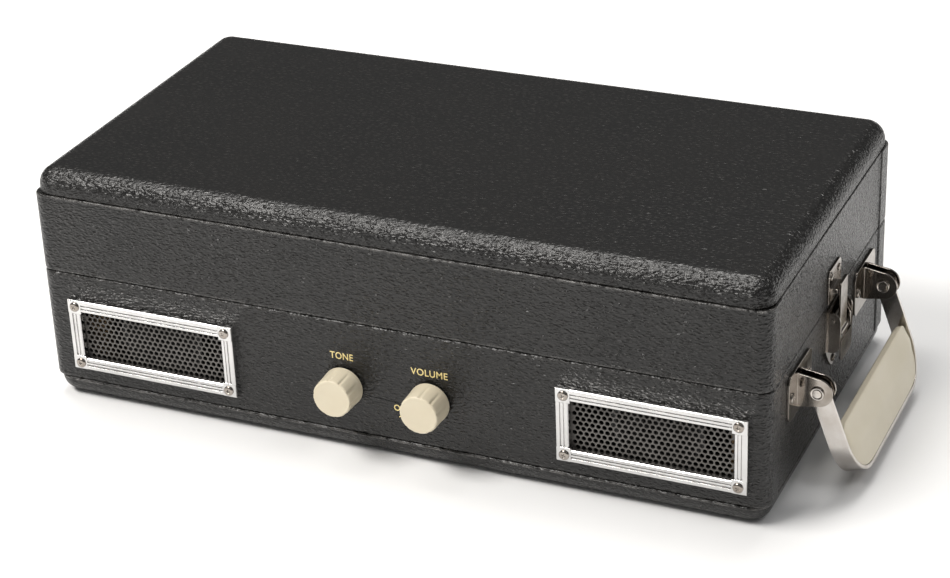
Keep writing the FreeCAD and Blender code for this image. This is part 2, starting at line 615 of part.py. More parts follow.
cue_block = box("cue_block", ("116", "126"), ("78", "94"), ("deck_top", "deck_top + 9"))
cue_slot = box("cue_slot", ("119.4", "122.6"), ("76", "96"), ("deck_top + 3", "deck_top + 12"))
cue_bore = rod("cue_bore", ("115", "88", "deck_top + 6"), "1.2 + running_gap", "12", "X")
node(less("cue_bracket", cue_block, [cue_slot, cue_bore]), "cue_bracket")
cue_bar = box("cue_bar", ("119.7", "122.3"), ("64", "91"), ("deck_top + 4.6", "deck_top + 7.4"))
cue_pin = rod("cue_pin", ("116.2", "88", "deck_top + 6"), "1.2", "9.6", "X")
cue_pad = rod("cue_pad", ("121", "62", "deck_top + 4.6"), "3.6", "2.8")
node(joined("cue_lever", [cue_bar, cue_pin, cue_pad]), "cue_lever")

plate = box("speed_plate_blank", ("158", "184"), ("20", "36"), ("deck_top", "deck_top + 1.5"))
plate_bore = rod("speed_bore", ("171", "28", "deck_top - 1"), "2 + running_gap", "5")
node(less("speed_plate", plate, [plate_bore]), "speed_plate")
knob_disc = rod("speed_disc", ("171", "28", "deck_top + 1.8"), "6.5", "5")
knob_pin = rod("speed_pin", ("171", "28", "deck_top + 0.2"), "2", "3")
knob_arm = box("speed_arm", ("169.6", "172.4"), ("28", "42"), ("deck_top + 3", "deck_top + 6"))
node(joined("speed_selector", [knob_disc, knob_pin, knob_arm]), "speed_selector")
slider_cap = box("slider_cap", ("167", "175"), ("47", "53"), ("deck_top + 0.3", "deck_top + 4.5"))
slider_leg = box("slider_leg", ("168.9", "173.1"), ("47.5", "52.5"), ("deck_top - 5", "deck_top + 1"))
node(joined("stop_slider", [slider_cap, slider_leg]), "stop_slider")

adapter = new_body("single_adapter")
turned(adapter, sketch(adapter, "XZ", [[
    ("spindle_radius + 0.1", "0.05"), ("19", "0.05"), ("19", "2.4"), ("12", "4.4"),
    ("spindle_radius + 0.1", "4.4")]]))
put(adapter, "172", "-48", "deck_top")
node(adapter, "single_adapter")

# ---- electronics inside the base and the sockets at the back ---------------------------

board = box("board", ("-60", "60"), ("-60", "20"), ("floor_thick + 6", "floor_thick + 7.6"))
heat_sink = box("heat_sink", ("-50", "-20"), ("-50", "-30"), ("floor_thick + 7.5", "floor_thick + 32"))
caps = [rod(f"capacitor_{i}", (str(x), "-10", "floor_thick + 7.5"), "6", "22")
        for i, x in enumerate((0, 16, 32))]
relay = box("driver_chip", ("10", "34"), ("-50", "-36"), ("floor_thick + 7.5", "floor_thick + 13"))
stands = [rod(f"standoff_{i}{j}", (str(i), str(j), "floor_thick"), "3", "6.1")
          for i in (-55, 55) for j in (-55, 15)]
node(joined("circuit_board", [board, heat_sink, relay] + caps + stands), "circuit_board")

sockets_face = "case_depth / 2"
plate_box = box("socket_face", ("socket_x - socket_plate_long / 2", "socket_x + socket_plate_long / 2"),
                (sockets_face, sockets_face + " + 1.2"),
                ("socket_z - socket_plate_tall / 2", "socket_z + socket_plate_tall / 2"))
bodies = [box(f"socket_body_{i}", (f"socket_x + {x} - 6", f"socket_x + {x} + 6"),
              (sockets_face + " - 12", sockets_face + " + 0.5"), ("socket_z - 6", "socket_z + 6"))
          for i, x in enumerate((-18, 0, 18))]
collars = [rod(f"socket_collar_{i}", (f"socket_x + {x}", sockets_face + " + 1", "socket_z"), "4.2",
               "7", "Y") for i, x in enumerate((0, 18))]
bores = [rod(f"socket_bore_{i}", (f"socket_x + {x}", sockets_face + " - 8", "socket_z"), radius,
             "20", "Y") for i, (x, radius) in enumerate(((-18, "2.8"), (0, "1.8"), (18, "1.8")))]
node(less("socket_panel", joined("socket_panel_whole", [plate_box] + bodies + collars), bores),
     "socket_panel")
case_screws = [
    screw(f"socket_screw_{i}", (f"socket_x + {i} * 28", sockets_face + " + 1.2", "socket_z"), "Y",
          "2.4", "1") for i in (-1, 1)]

# ---- hinges at the left end ------------------------------------------------------------

def knuckles(name, spans, y, out, low, high):
    """One hinge leaf: a plate, its knuckles round the pin, and the pin's bore."""
    left = "-case_length / 2 + side_recess"
    pieces = [box(f"{name}_plate", (f"{left} - leaf_thick", left),
                  (f"{y} - hinge_long / 2", f"{y} + hinge_long / 2"), (low, high))]
    for i, (start, stop) in enumerate(spans):
        pieces.append(rod(f"{name}_knuckle{i}", (f"{left} - hinge_out", f"{y} + ({start})", "parting"),
                          "barrel_radius", f"({stop}) - ({start})", "Y"))
        web = ("parting - 4", "parting") if out < 0 else ("parting", "parting + 4")
        pieces.append(box(f"{name}_web{i}", (f"{left} - leaf_thick", left),
                          (f"{y} + ({start})", f"{y} + ({stop})"), web))
    whole = joined(f"{name}_whole", pieces)
    bore = rod(f"{name}_bore", (f"{left} - hinge_out", f"{y} - 30", "parting"),
               "hinge_pin + running_gap", "60", "Y")
    return less(name, whole, [bore])


third = "hinge_long / 6"
base_spans = [(f"-{third}", third)]
lid_spans = [("-hinge_long / 2", f"-{third} - 0.4"), (f"{third} + 0.4", "hinge_long / 2")]
node(group("hinge_base_group", [
    knuckles(f"hinge_base_{i}", base_spans, f"{i} * hinge_y", -1, "parting - leaf_tall", "parting - 3.6")
    for i in (-1, 1)]), "hinge_base_leaves")
node(group("hinge_lid_group", [
    knuckles(f"hinge_lid_{i}", lid_spans, f"{i} * hinge_y", 1, "parting + 3.6", "parting + leaf_tall")
    for i in (-1, 1)]), "hinge_lid_leaves")
node(group("hinge_pins_group", [
    rod(f"hinge_pin_{i}", ("-case_length / 2 + side_recess - hinge_out",
                           f"{i} * hinge_y - hinge_long / 2 - 0.5", "parting"),
        "hinge_pin", "hinge_long + 1", "Y") for i in (-1, 1)]), "hinge_pins")


def leaf_screws(name, level):
    """The four raised screws that hold one pair of hinge leaves."""
    return [screw(f"{name}_{i}{j}", ("-case_length / 2 + side_recess - leaf_thick",
                                     f"{i} * hinge_y + {j} * 12", level), "-X", "2.6", "0.9")
            for i in (-1, 1) for j in (-1, 1)]


case_screws += leaf_screws("hinge_screw_low", "parting - 14")
lid_screws = leaf_screws("hinge_screw_high", "parting + 14")

# ---- handle brackets, pins, strap and grip ---------------------------------------------

side_face = "case_length / 2 - side_recess"


def bracket(name, side):
    """A plate on the end wall with a pair of rounded ears round the handle's leg."""
    body = new_body(name)
    long, tall = "bracket_long / 2", "bracket_tall / 2"
    pad(body, sketch(body, "YZ", [rectangle("-" + long, long, "-" + tall, tall)]), "bracket_thick")
    soften(body, "5", lambda e: straight(e, X))
    gap, shift = "ear_gap / 2", f"({side}) * (pivot_y - bracket_y)"
    for sign in (-1, 1):
        near = f"{shift} + {sign} * ({gap})" if sign > 0 else f"{shift} - ({gap}) - ear_thick"
        root = [("0.5", "-ear_root"), ("pivot_out", "-ear_radius"), ("pivot_out", "ear_radius"),
                ("0.5", "ear_root")]
        # the sheet of a drawing on the XZ plane faces -Y, so its offset is minus y
        pad(body, sketch(body, "XZ", [root], f"-({near}) - ear_thick"), "ear_thick")
        pad(body, sketch(body, "XZ", [("round", "pivot_out", "0", "ear_radius")],
                         f"-({near}) - ear_thick"), "ear_thick")
    pocket(body, sketch(body, "XZ", [("round", "pivot_out", "0", "pin_radius")],
                        f"-({shift}) + 12"), "24")
    put(body, side_face, f"{side} * bracket_y", "bracket_z")
    return body


node(group("handle_brackets_group", [bracket("bracket_front", -1), bracket("bracket_rear", 1)]),
     "handle_brackets")
pins = []
for i in (-1, 1):
    start = f"{i} * pivot_y - ear_gap / 2 - ear_thick"
    stem = rod(f"pin_stem_{i}", (f"{side_face} + pivot_out", start, "bracket_z"),
               "pin_radius - 0.02", "ear_gap + 2 * ear_thick", "Y")
    head_a = rod(f"pin_head_a_{i}", (f"{side_face} + pivot_out", start, "bracket_z"), "3.9",
                 "1.3", "-Y")
    head_b = rod(f"pin_head_b_{i}", (f"{side_face} + pivot_out",
                                     f"{i} * pivot_y + ear_gap / 2 + ear_thick", "bracket_z"),
                 "3.9", "1.3", "Y")
    pins.append(joined(f"handle_pin_{i}", [stem, head_a, head_b]))
node(group("handle_pins_group", pins), "handle_pins")
case_screws += [
    screw(f"bracket_screw_{i}{j}", (f"{side_face} + bracket_thick",
                                    f"{i} * bracket_y + {j} * 15.5", "bracket_z"), "X", "2.9", "1.3")
    for i in (-1, 1) for j in (-1, 1)]

LEAN = FreeCAD.Rotation(Y, -value("handle_lean"))
strap = new_body("handle_strap")
outer, inner = "strap_half", "(strap_half - strap_thick)"
top = "eye_radius"
pad(strap, sketch(strap, "YZ", [[
    (f"-{outer}", top), (f"-{outer}", "-strap_drop"), (outer, "-strap_drop"), (outer, top),
    (inner, top), (inner, "-strap_drop + strap_thick"), (f"-{inner}", "-strap_drop + strap_thick"),
    (f"-{inner}", top)]]), "strap_wide", middle=True)
soften(strap, "strap_bend", lambda e: straight(e, X)
       and abs(middle_of(e).z + value("strap_drop")) < 1e-3)
soften(strap, "strap_bend - strap_thick", lambda e: straight(e, X)
       and abs(middle_of(e).z + value("strap_drop - strap_thick")) < 1e-3)
soften(strap, "strap_wide / 2 - 0.01", lambda e: straight(e, Y)
       and abs(middle_of(e).z - value(top)) < 1e-3)
pocket(strap, sketch(strap, "XZ", [("round", "0", "0", "pin_radius + running_gap")],
                     "100"), "200")
put(strap, f"{side_face} + pivot_out", "0", "bracket_z", turn=LEAN)
node(strap, "handle_strap")

grip = new_body("handle_grip")
edge = f"({inner} - grip_gap)"
base_line = "-strap_drop + strap_thick + grip_gap"
pad(grip, sketch(grip, "YZ", [[
    (f"-{edge}", "-grip_in"), (f"-{edge}", base_line), (edge, base_line), (edge, "-grip_in")]],
    "-grip_back"), "grip_thick")
soften(grip, "strap_bend - strap_thick - grip_gap", lambda e: straight(e, X)
       and abs(middle_of(e).z - value(base_line)) < 1e-3)
soften(grip, "9", lambda e: straight(e, X) and abs(middle_of(e).z + value("grip_in")) < 1e-3)
soften(grip, "grip_round", lambda e: not straight(e, X))
put(grip, f"{side_face} + pivot_out", "0", "bracket_z", turn=LEAN)
node(grip, "handle_grip")

# ---- the latch: plate, lever, claw and the strike on the lid ---------------------------

latch = new_body("latch_plate")
pad(latch, sketch(latch, "YZ", [[
    ("-latch_half", "-1.5"), ("-latch_half", "-27"), ("-9", "-35"), ("-3", "-41"), ("3", "-41"),
    ("9", "-35"), ("latch_half", "-27"), ("latch_half", "-1.5")]]), "latch_plate_thick")
pad(latch, sketch(latch, "YZ", [
    rectangle("cheek_y", "cheek_y + 1.2", "-28", "-3"),
    rectangle("-cheek_y - 1.2", "-cheek_y", "-28", "-3")], "0.5"), "cheek_out - 0.5")
soften(latch, "5", lambda e: straight(e, Y) and middle_of(e).x > value("cheek_out") - 0.01)
pocket(latch, sketch(latch, "XZ", [("round", "lever_pin_out", "-lever_pin_down", "1.4")], "20"), "40")
put(latch, side_face, "0", "parting")
node(latch, "latch_plate")
node(rod("latch_pin", (f"{side_face} + lever_pin_out", "-cheek_y - 1.6", "parting - lever_pin_down"),
         "1.4 - 0.02", "2 * cheek_y + 3.2", "Y"), "latch_pin")
case_screws.append(screw("latch_screw", (f"{side_face} + latch_plate_thick", "0",
                                         "parting - 37.6"), "X", "2.3", "1.1"))
node(group("case_screws_group", case_screws), "case_screws")

lever = new_body("latch_lever")
pad(lever, sketch(lever, "YZ", [rectangle("-lever_half", "lever_half", "-34", "-20.5")], "7.6"), "1.3")
soften(lever, "4", lambda e: straight(e, X) and middle_of(e).z < -30)
# above its pin a cheek is no wider than its eye, so that it can turn past the plate
cheek = [("1.8", "-lever_pin_down"), ("1.8", "-26"), ("8.2", "-26"), ("8.2", "-12"),
         ("5.9", "-lever_pin_down")]
eye = ("round", "lever_pin_out", "-lever_pin_down", "lever_eye")
for start in ("-lever_half", "lever_half - 1.2"):
    pad(lever, sketch(lever, "XZ", [cheek], start), "1.2")
    pad(lever, sketch(lever, "XZ", [eye], start), "1.2")
pad(lever, sketch(lever, "XZ", [("round", "claw_pin_out", "-claw_pin_down", "1.0")], "-lever_half + 0.5"),
    "2 * lever_half - 1")
pocket(lever, sketch(lever, "XZ", [("round", "lever_pin_out", "-lever_pin_down",
                                    "1.4 + running_gap")], "20"), "40")
put(lever, side_face, "0", "parting")
node(lever, "latch_lever")

claw = new_body("latch_claw")
pad(claw, sketch(claw, "XZ", [("round", "claw_pin_out", "-claw_pin_down", "1.9")]),
    "2 * claw_half", middle=True)
pad(claw, sketch(claw, "XZ", [[
    ("claw_pin_out - 0.4", "-claw_pin_down + 1"), ("claw_pin_out + 0.8", "-claw_pin_down + 1"),
    ("claw_pin_out + 0.8", "13.5"), ("strike_lip + 0.3", "13.5"), ("strike_lip + 0.3", "11"),
    ("claw_pin_out - 0.4", "11")]]), "2 * claw_half", middle=True)
pocket(claw, sketch(claw, "XZ", [("round", "claw_pin_out", "-claw_pin_down",
                                  "1.0 + running_gap")], "20"), "40")
put(claw, side_face, "0", "parting")
node(claw, "latch_claw")

strike = new_body("latch_strike")
pad(strike, sketch(strike, "YZ", [rectangle("-12", "12", "1.5", "22")]), "latch_plate_thick")
soften(strike, "4", lambda e: straight(e, X) and middle_of(e).z > 20)
pad(strike, sketch(strike, "YZ", [rectangle("-claw_half", "claw_half", "7", "9.6")]), "strike_lip")
put(strike, side_face, "0", "parting")
node(strike, "latch_strike")
lid_screws += [
    screw(f"strike_screw_{i}", (f"{side_face} + latch_plate_thick", f"{i} * 7", "parting + 17"), "X",
          "2.2", "1") for i in (-1, 1)]
node(group("lid_screws_group", lid_screws), "lid_screws")

# ---- check every object and write the sub-parts ----------------------------------------

doc.recompute()
for thing in doc.Objects:
    if "Invalid" in thing.State or "Error" in thing.State:
        raise RuntimeError(f"{thing.Label}: {thing.State}")
os.makedirs("parts", exist_ok=True)
for thing in nodes:
    shape = thing.Shape
    if shape.isNull() or not shape.isValid() or not shape.Solids:
        raise RuntimeError(f"{thing.Label}: bad shape")
    shape.exportStep(f"parts/{thing.Label}.step")
    print(f"{thing.Label}: {len(shape.Solids)} solid(s), {shape.Volume:.1f} mm3")
print(len(nodes), "nodes")
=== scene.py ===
# %% [markdown]
# # A record player that shuts like a suitcase
# The real object is a wooden case covered in black leatherette. Two loudspeakers and two
# cream knobs sit in its front, a draw latch and a drop handle on its right end, and the
# platter and the tonearm wait under the lid. The shapes, sizes and hinges were settled in
# CAD. They come in here as a frame that is never moved: each new piece is put exactly
# where the frame says, and rides on the body that carries it.

# %% Load the frame
import json
import math

import bmesh
import bpy
from mathutils import Matrix, Vector

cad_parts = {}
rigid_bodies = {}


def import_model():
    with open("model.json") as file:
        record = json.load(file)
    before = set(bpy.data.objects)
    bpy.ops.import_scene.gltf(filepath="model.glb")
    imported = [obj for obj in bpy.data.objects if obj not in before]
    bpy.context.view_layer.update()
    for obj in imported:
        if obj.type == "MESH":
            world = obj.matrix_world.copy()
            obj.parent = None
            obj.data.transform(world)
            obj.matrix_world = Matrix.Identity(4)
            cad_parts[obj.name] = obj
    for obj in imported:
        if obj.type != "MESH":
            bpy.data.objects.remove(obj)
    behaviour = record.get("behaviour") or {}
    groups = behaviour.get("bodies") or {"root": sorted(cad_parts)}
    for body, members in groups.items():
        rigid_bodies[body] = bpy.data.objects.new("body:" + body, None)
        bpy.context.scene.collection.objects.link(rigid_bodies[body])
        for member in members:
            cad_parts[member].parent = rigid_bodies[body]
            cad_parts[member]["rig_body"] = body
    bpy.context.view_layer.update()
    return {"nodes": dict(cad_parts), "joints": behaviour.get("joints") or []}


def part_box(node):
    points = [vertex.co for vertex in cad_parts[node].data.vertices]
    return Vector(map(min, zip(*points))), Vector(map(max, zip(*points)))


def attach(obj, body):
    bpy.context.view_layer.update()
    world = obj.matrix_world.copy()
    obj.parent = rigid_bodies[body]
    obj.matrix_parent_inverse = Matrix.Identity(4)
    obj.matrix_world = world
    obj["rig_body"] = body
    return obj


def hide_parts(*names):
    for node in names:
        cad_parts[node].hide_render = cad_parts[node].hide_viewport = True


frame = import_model()
nodes = frame["nodes"]
MM = 0.001

# %% [markdown]
# ## Working as by hand
# Every operator in Blender acts on whatever is selected, so each step first clears the
# selection. The helpers below select a piece, open it with only some faces, edges or
# points chosen, and apply a modifier so that nothing is left live on a finished mesh.

# %% Selecting and editing
def only_none():
    """Leave edit mode and deselect everything."""
    if bpy.context.mode != "OBJECT":
        bpy.ops.object.mode_set(mode="OBJECT")
    bpy.ops.object.select_all(action="DESELECT")


def only(piece):
    """Deselect everything, then select this piece alone."""
    only_none()
    piece.select_set(True)
    bpy.context.view_layer.objects.active = piece


def middle(part):
    """The middle of a face or an edge, or the place of a point."""
    if isinstance(part, bmesh.types.BMFace):
        return part.calc_center_median()
    if isinstance(part, bmesh.types.BMEdge):
        return (part.verts[0].co + part.verts[1].co) / 2
    return part.co


def pick(piece, test, kind="FACE"):
    """Open a piece in edit mode with only the parts selected that pass the test."""
    only(piece)
    bpy.ops.object.mode_set(mode="EDIT")
    bpy.ops.mesh.select_mode(type=kind)
    bpy.ops.mesh.select_all(action="DESELECT")
    mesh = bmesh.from_edit_mesh(piece.data)
    parts = {"FACE": mesh.faces, "EDGE": mesh.edges, "VERT": mesh.verts}[kind]
    chosen = [part for part in parts if test(part)]
    for part in chosen:
        part.select_set(True)
    mesh.select_flush_mode()
    bmesh.update_edit_mesh(piece.data)
    return len(chosen)


def leave():
    """Close edit mode."""
    bpy.ops.object.mode_set(mode="OBJECT")


def step_face(steps):
    """Inset the selected face again and again: (width, rise) in millimetres."""
    for width, rise in steps:
        bpy.ops.mesh.inset(thickness=width * MM, depth=rise * MM, use_even_offset=True)


def cut_at(piece, place, way):
    """Score a mesh all round where a plane crosses it."""
    pick(piece, lambda face: True)
    bpy.ops.mesh.bisect(plane_co=place, plane_no=way)
    leave()


def modify(piece, kind, **settings):
    """Add a modifier and apply it at once."""
    only(piece)
    modifier = piece.modifiers.new(kind.title(), kind)
    for name, value in settings.items():
        setattr(modifier, name, value)
    bpy.ops.object.modifier_apply(modifier=modifier.name)


def settle(piece):
    """Put an object's place, turn and scale into its mesh."""
    only(piece)
    bpy.ops.object.transform_apply(location=True, rotation=True, scale=True)


def ease(piece, width, segments=2, angle=30.0, clamp=True):
    """Round every sharp edge a little, so that it catches the light."""
    modify(piece, "BEVEL", width=width * MM, segments=segments, limit_method="ANGLE",
           angle_limit=math.radians(angle), use_clamp_overlap=clamp)


def join(pieces):
    """Join pieces into the first of them."""
    only(pieces[0])
    for piece in pieces[1:]:
        piece.select_set(True)
    bpy.ops.object.join()
    return bpy.context.view_layer.objects.active


def copy_of(piece, matrix=None):
    """A copy with its own mesh, moved by a matrix."""
    twin = bpy.data.objects.new(piece.name + "_copy", piece.data.copy())
    bpy.context.scene.collection.objects.link(twin)
    if matrix is not None:
        twin.matrix_world = matrix
    settle(twin)
    return twin


def block(low, high):
    """A block between two corners, in millimetres, as a first shape to work on."""
    low, high = Vector(low) * MM, Vector(high) * MM
    only_none()
    bpy.ops.mesh.primitive_cube_add(size=1, location=(low + high) / 2, scale=high - low)
    settle(bpy.context.object)
    return bpy.context.object


def disc(centre, radius, deep, way="Z", sides=64):
    """A round bar, in millimetres, centred on a point, as a first shape to work on."""
    turn = {"X": (0, math.pi / 2, 0), "Y": (math.pi / 2, 0, 0), "Z": (0, 0, 0)}[way]
    only_none()
    bpy.ops.mesh.primitive_cylinder_add(vertices=sides, radius=radius * MM, depth=deep * MM,
                                        location=Vector(centre) * MM, rotation=turn)
    settle(bpy.context.object)
    return bpy.context.object


def cut_away(piece, tool):
    """Take one shape out of another with an exact boolean."""
    modify(piece, "BOOLEAN", operation="DIFFERENCE", solver="EXACT", object=tool)
    bpy.data.objects.remove(tool)


def weld_on(piece, tool):
    """Make two closed shapes one."""
    modify(piece, "BOOLEAN", operation="UNION", solver="EXACT", object=tool)
    bpy.data.objects.remove(tool)


made_pieces = []


def hand_over(piece, name, body, material, stands_for=(), smooth=35.0, turn_out=True):
    """Name a finished piece, give it its finish, and let it ride on its body."""
    settle(piece)
    piece.name = piece.data.name = name
    if turn_out:
        pick(piece, lambda face: True)
        bpy.ops.mesh.normals_make_consistent(inside=False)
        leave()
    only(piece)
    bpy.ops.object.shade_smooth_by_angle(angle=math.radians(smooth))
    modify(piece, "WEIGHTED_NORMAL", keep_sharp=True)
    piece.data.materials.clear()
    piece.data.materials.append(material)
    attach(piece, body)
    if stands_for:
        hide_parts(*stands_for)
    made_pieces.append(piece)
    return piece


# %% [markdown]
# ## Shader building blocks
# A finish is a small network of shader nodes. Two effects are needed by nearly every
# finish here, so each is a node group that is built once. The first gives a fine grain and
# a slow mottle. The second finds the edges of a piece, where hands and cloth wear it; on the
# leatherette the same edge mask carries a painted highlight.

# %% Helpers for shader nodes
def add(tree, kind, inputs=None, **settings):
    """Add a shader node. An input is a value, or the output socket that feeds it."""
    made = tree.nodes.new("ShaderNode" + kind)
    for key, value in settings.items():
        setattr(made, key, value)
    for key, value in (inputs or {}).items():
        if isinstance(value, bpy.types.NodeSocket):
            tree.links.new(value, made.inputs[key])
        else:
            made.inputs[key].default_value = value
    return made


def mix(tree, factor, first, second):
    """Blend two colours."""
    made = add(tree, "Mix", data_type="RGBA")
    for index, value in ((0, factor), (6, first), (7, second)):
        if isinstance(value, bpy.types.NodeSocket):
            tree.links.new(value, made.inputs[index])
        else:
            made.inputs[index].default_value = value
    return made.outputs[2]


def ranged(tree, value, low, high, to_low=0.0, to_high=1.0, smooth=False):
    """Stretch a value from one range to another, held at both ends."""
    made = add(tree, "MapRange", {"Value": value, "From Min": low, "From Max": high,
                                  "To Min": to_low, "To Max": to_high},
               interpolation_type="SMOOTHSTEP" if smooth else "LINEAR")
    return made.outputs["Result"]


def maths(tree, kind, first, second):
    """Add, multiply or otherwise combine two numbers."""
    made = add(tree, "Math", operation=kind)
    for index, value in enumerate((first, second)):
        if isinstance(value, bpy.types.NodeSocket):
            tree.links.new(value, made.inputs[index])
        else:
            made.inputs[index].default_value = value
    return made.outputs[0]


def new_group(name, inputs, outputs):
    """A node group with named inputs and outputs."""
    group = bpy.data.node_groups.new(name, "ShaderNodeTree")
    for label, kind, value in inputs:
        socket = group.interface.new_socket(name=label, in_out="INPUT", socket_type=kind)
        if value is not None:
            socket.default_value = value
    for label, kind in outputs:
        group.interface.new_socket(name=label, in_out="OUTPUT", socket_type=kind)
    return group, group.nodes.new("NodeGroupInput"), group.nodes.new("NodeGroupOutput")


# %% The fine grain and mottle group
FLOAT, VECTOR = "NodeSocketFloat", "NodeSocketVector"
grain_group, into, out = new_group(
    "fine_grain", [("Vector", VECTOR, None), ("Scale", FLOAT, 1500.0), ("Spots", FLOAT, 40.0)],
    [("Grain", FLOAT), ("Mottle", FLOAT)])
fine = add(grain_group, "TexNoise", {"Vector": into.outputs["Vector"],
                                     "Scale": into.outputs["Scale"],
                                     "Detail": 3.0, "Roughness": 0.6})
slow = add(grain_group, "TexNoise", {"Vector": into.outputs["Vector"],
                                     "Scale": into.outputs["Spots"],
                                     "Detail": 3.0, "Roughness": 0.55})
grain_group.links.new(fine.outputs["Fac"], out.inputs["Grain"])
grain_group.links.new(ranged(grain_group, slow.outputs["Fac"], 0.32, 0.68), out.inputs["Mottle"])

# %% The edge wear and painted highlight group
edge_group, into, out = new_group(
    "edge_wear_and_highlight", [("Vector", VECTOR, None), ("Radius", FLOAT, 0.0006)], [("Edge", FLOAT)])
rounded = add(edge_group, "Bevel", {"Radius": into.outputs["Radius"]}, samples=3)
true_normal = add(edge_group, "NewGeometry")
facing = add(edge_group, "VectorMath", operation="DOT_PRODUCT")
edge_group.links.new(rounded.outputs["Normal"], facing.inputs[0])
edge_group.links.new(true_normal.outputs["Normal"], facing.inputs[1])
sharp = ranged(edge_group, facing.outputs["Value"], 0.985, 0.82)
broken = add(edge_group, "TexNoise", {"Vector": into.outputs["Vector"], "Scale": 260.0,
                                      "Detail": 4.0, "Roughness": 0.65})
wear_and_highlight_mask = maths(edge_group, "MULTIPLY", sharp,
             ranged(edge_group, broken.outputs["Fac"], 0.35, 0.7))
edge_group.links.new(wear_and_highlight_mask, out.inputs["Edge"])


def grain_in(tree, vector, scale, spots):
    """The grain group at work in a finish."""
    return add(tree, "Group", {"Vector": vector, "Scale": scale, "Spots": spots},
               node_tree=grain_group)


def wear_and_highlight_in(tree, vector, radius, share):
    """How worn each place is, from the edge group; on the leatherette this mask paints an edge
    highlight.
    """
    group = add(tree, "Group", {"Vector": vector, "Radius": radius}, node_tree=edge_group)
    return group.outputs["Edge"], maths(tree, "MULTIPLY", group.outputs["Edge"], share)


# %% [markdown]
# ## One recipe for most finishes
# Plastic, metal, rubber and wood differ in colour, gloss and grain, yet are built the same
# way: two close tints mixed by the mottle, a lighter or darker tint on worn edges, a
# roughness that drifts, and a shallow bump from the grain. Stretching the grain along one
# direction turns it into brushed metal or wood.

# %% The recipe
def grey(level, warm=0.0):
    """A grey of a linear level, a little warmer or cooler than neutral."""
    return (level * (1 + warm), level, level * (1 - warm), 1.0)


def new_finish(name, constants):
    """A material whose unchanging values sit on the shader's own sockets."""
    material = bpy.data.materials.new(name)
    material.use_nodes = True
    tree = material.node_tree
    shader = tree.nodes["Principled BSDF"]
    for socket, value in constants.items():
        shader.inputs[socket].default_value = value
    place = add(tree, "TexCoord").outputs["Object"]
    return material, tree, shader, place


def finish(name, tint, other, worn_tint, rough, grain=1500.0, spots=40.0, deep=0.02,
           stretch=(1, 1, 1), edge=0.5, edge_radius=0.0006, **constants):
    """Tints are linear colours, rough is (least, most), deep is the bump in millimetres."""
    material, tree, shader, place = new_finish(
        name, {key.replace("_", " "): value for key, value in constants.items()})
    pattern = add(tree, "Mapping", {"Vector": place, "Scale": stretch}).outputs["Vector"]
    look = grain_in(tree, pattern, grain, spots)
    colour = mix(tree, look.outputs["Mottle"], tint, other)
    if edge:
        colour = mix(tree, wear_and_highlight_in(tree, place, edge_radius, edge)[1], colour, worn_tint)
    tree.links.new(colour, shader.inputs["Base Color"])
    gloss = maths(tree, "ADD", look.outputs["Mottle"],
                  maths(tree, "MULTIPLY", look.outputs["Grain"], 0.4))
    tree.links.new(ranged(tree, gloss, 0.0, 1.3, *rough), shader.inputs["Roughness"])
    bump = add(tree, "Bump", {"Height": look.outputs["Grain"], "Strength": 1.0,
                              "Distance": deep * MM})
    tree.links.new(bump.outputs["Normal"], shader.inputs["Normal"])
    return material


# %% Metals
chrome = finish("chrome_plate", grey(0.66, 0.01), grey(0.57, 0.01), grey(0.88), (0.08, 0.18),
                grain=900.0, spots=70.0, deep=0.006, edge=0.5, Metallic=1.0)
nickel = finish("nickel_plate", grey(0.60, 0.05), grey(0.5, 0.08), grey(0.80, 0.03), (0.05, 0.15),
                grain=1100.0, spots=120.0, deep=0.006, edge=0.6, edge_radius=0.0004, Metallic=1.0)
old_nickel = finish("aged_nickel", grey(0.36, 0.09), grey(0.25, 0.13), grey(0.72, 0.05),
                    (0.06, 0.18), grain=900.0, spots=150.0, deep=0.008, edge=0.8,
                    edge_radius=0.0005, Metallic=1.0)
steel = finish("zinc_steel", grey(0.55), grey(0.45, 0.02), grey(0.7), (0.28, 0.42),
               grain=1800.0, spots=90.0, deep=0.01, Metallic=1.0)
aluminium = finish("satin_aluminium", grey(0.62, -0.01), grey(0.54, -0.01), grey(0.78),
                   (0.24, 0.36), grain=2200.0, spots=50.0, deep=0.01, Metallic=1.0)
brass = finish("turned_brass", (0.62, 0.43, 0.17, 1), (0.5, 0.33, 0.12, 1), (0.8, 0.62, 0.3, 1),
               (0.2, 0.36), grain=1600.0, spots=90.0, deep=0.01, Metallic=1.0)
grille_paint = finish("grille_paint", grey(0.125, 0.06), grey(0.09, 0.08), grey(0.19, 0.05),
                      (0.45, 0.6), grain=2600.0, spots=60.0, deep=0.015, edge=0.3,
                      edge_radius=0.0003, Metallic=0.35)

# %% Plastics, rubber, wood and paper
cream = finish("cream_plastic", (0.73, 0.655, 0.50, 1), (0.69, 0.61, 0.455, 1),
               (0.80, 0.74, 0.62, 1), (0.28, 0.40), grain=1400.0, spots=45.0, deep=0.012,
               edge=0.35, IOR=1.46)
grip_cream = finish("grip_cream", (0.80, 0.73, 0.58, 1), (0.76, 0.69, 0.54, 1),
                    (0.74, 0.69, 0.58, 1), (0.34, 0.48), grain=900.0, spots=30.0, deep=0.02,
                    edge=0.3, IOR=1.46)
black_plastic = finish("black_plastic", grey(0.022), grey(0.015), grey(0.05), (0.3, 0.45),
                       grain=1800.0, spots=60.0, deep=0.02, IOR=1.46)
deck_black = finish("deck_black", grey(0.026, 0.02), grey(0.018, 0.02), grey(0.06), (0.42, 0.58),
                    grain=2600.0, spots=30.0, deep=0.05, IOR=1.46)
rubber = finish("black_rubber", grey(0.02), grey(0.03), grey(0.05), (0.62, 0.8),
                grain=1800.0, spots=50.0, deep=0.03, IOR=1.45)
wood = finish("plain_wood", (0.42, 0.27, 0.13, 1), (0.30, 0.18, 0.08, 1), (0.5, 0.36, 0.2, 1),
              (0.5, 0.7), grain=420.0, spots=160.0, deep=0.08, stretch=(1, 1, 0.12))
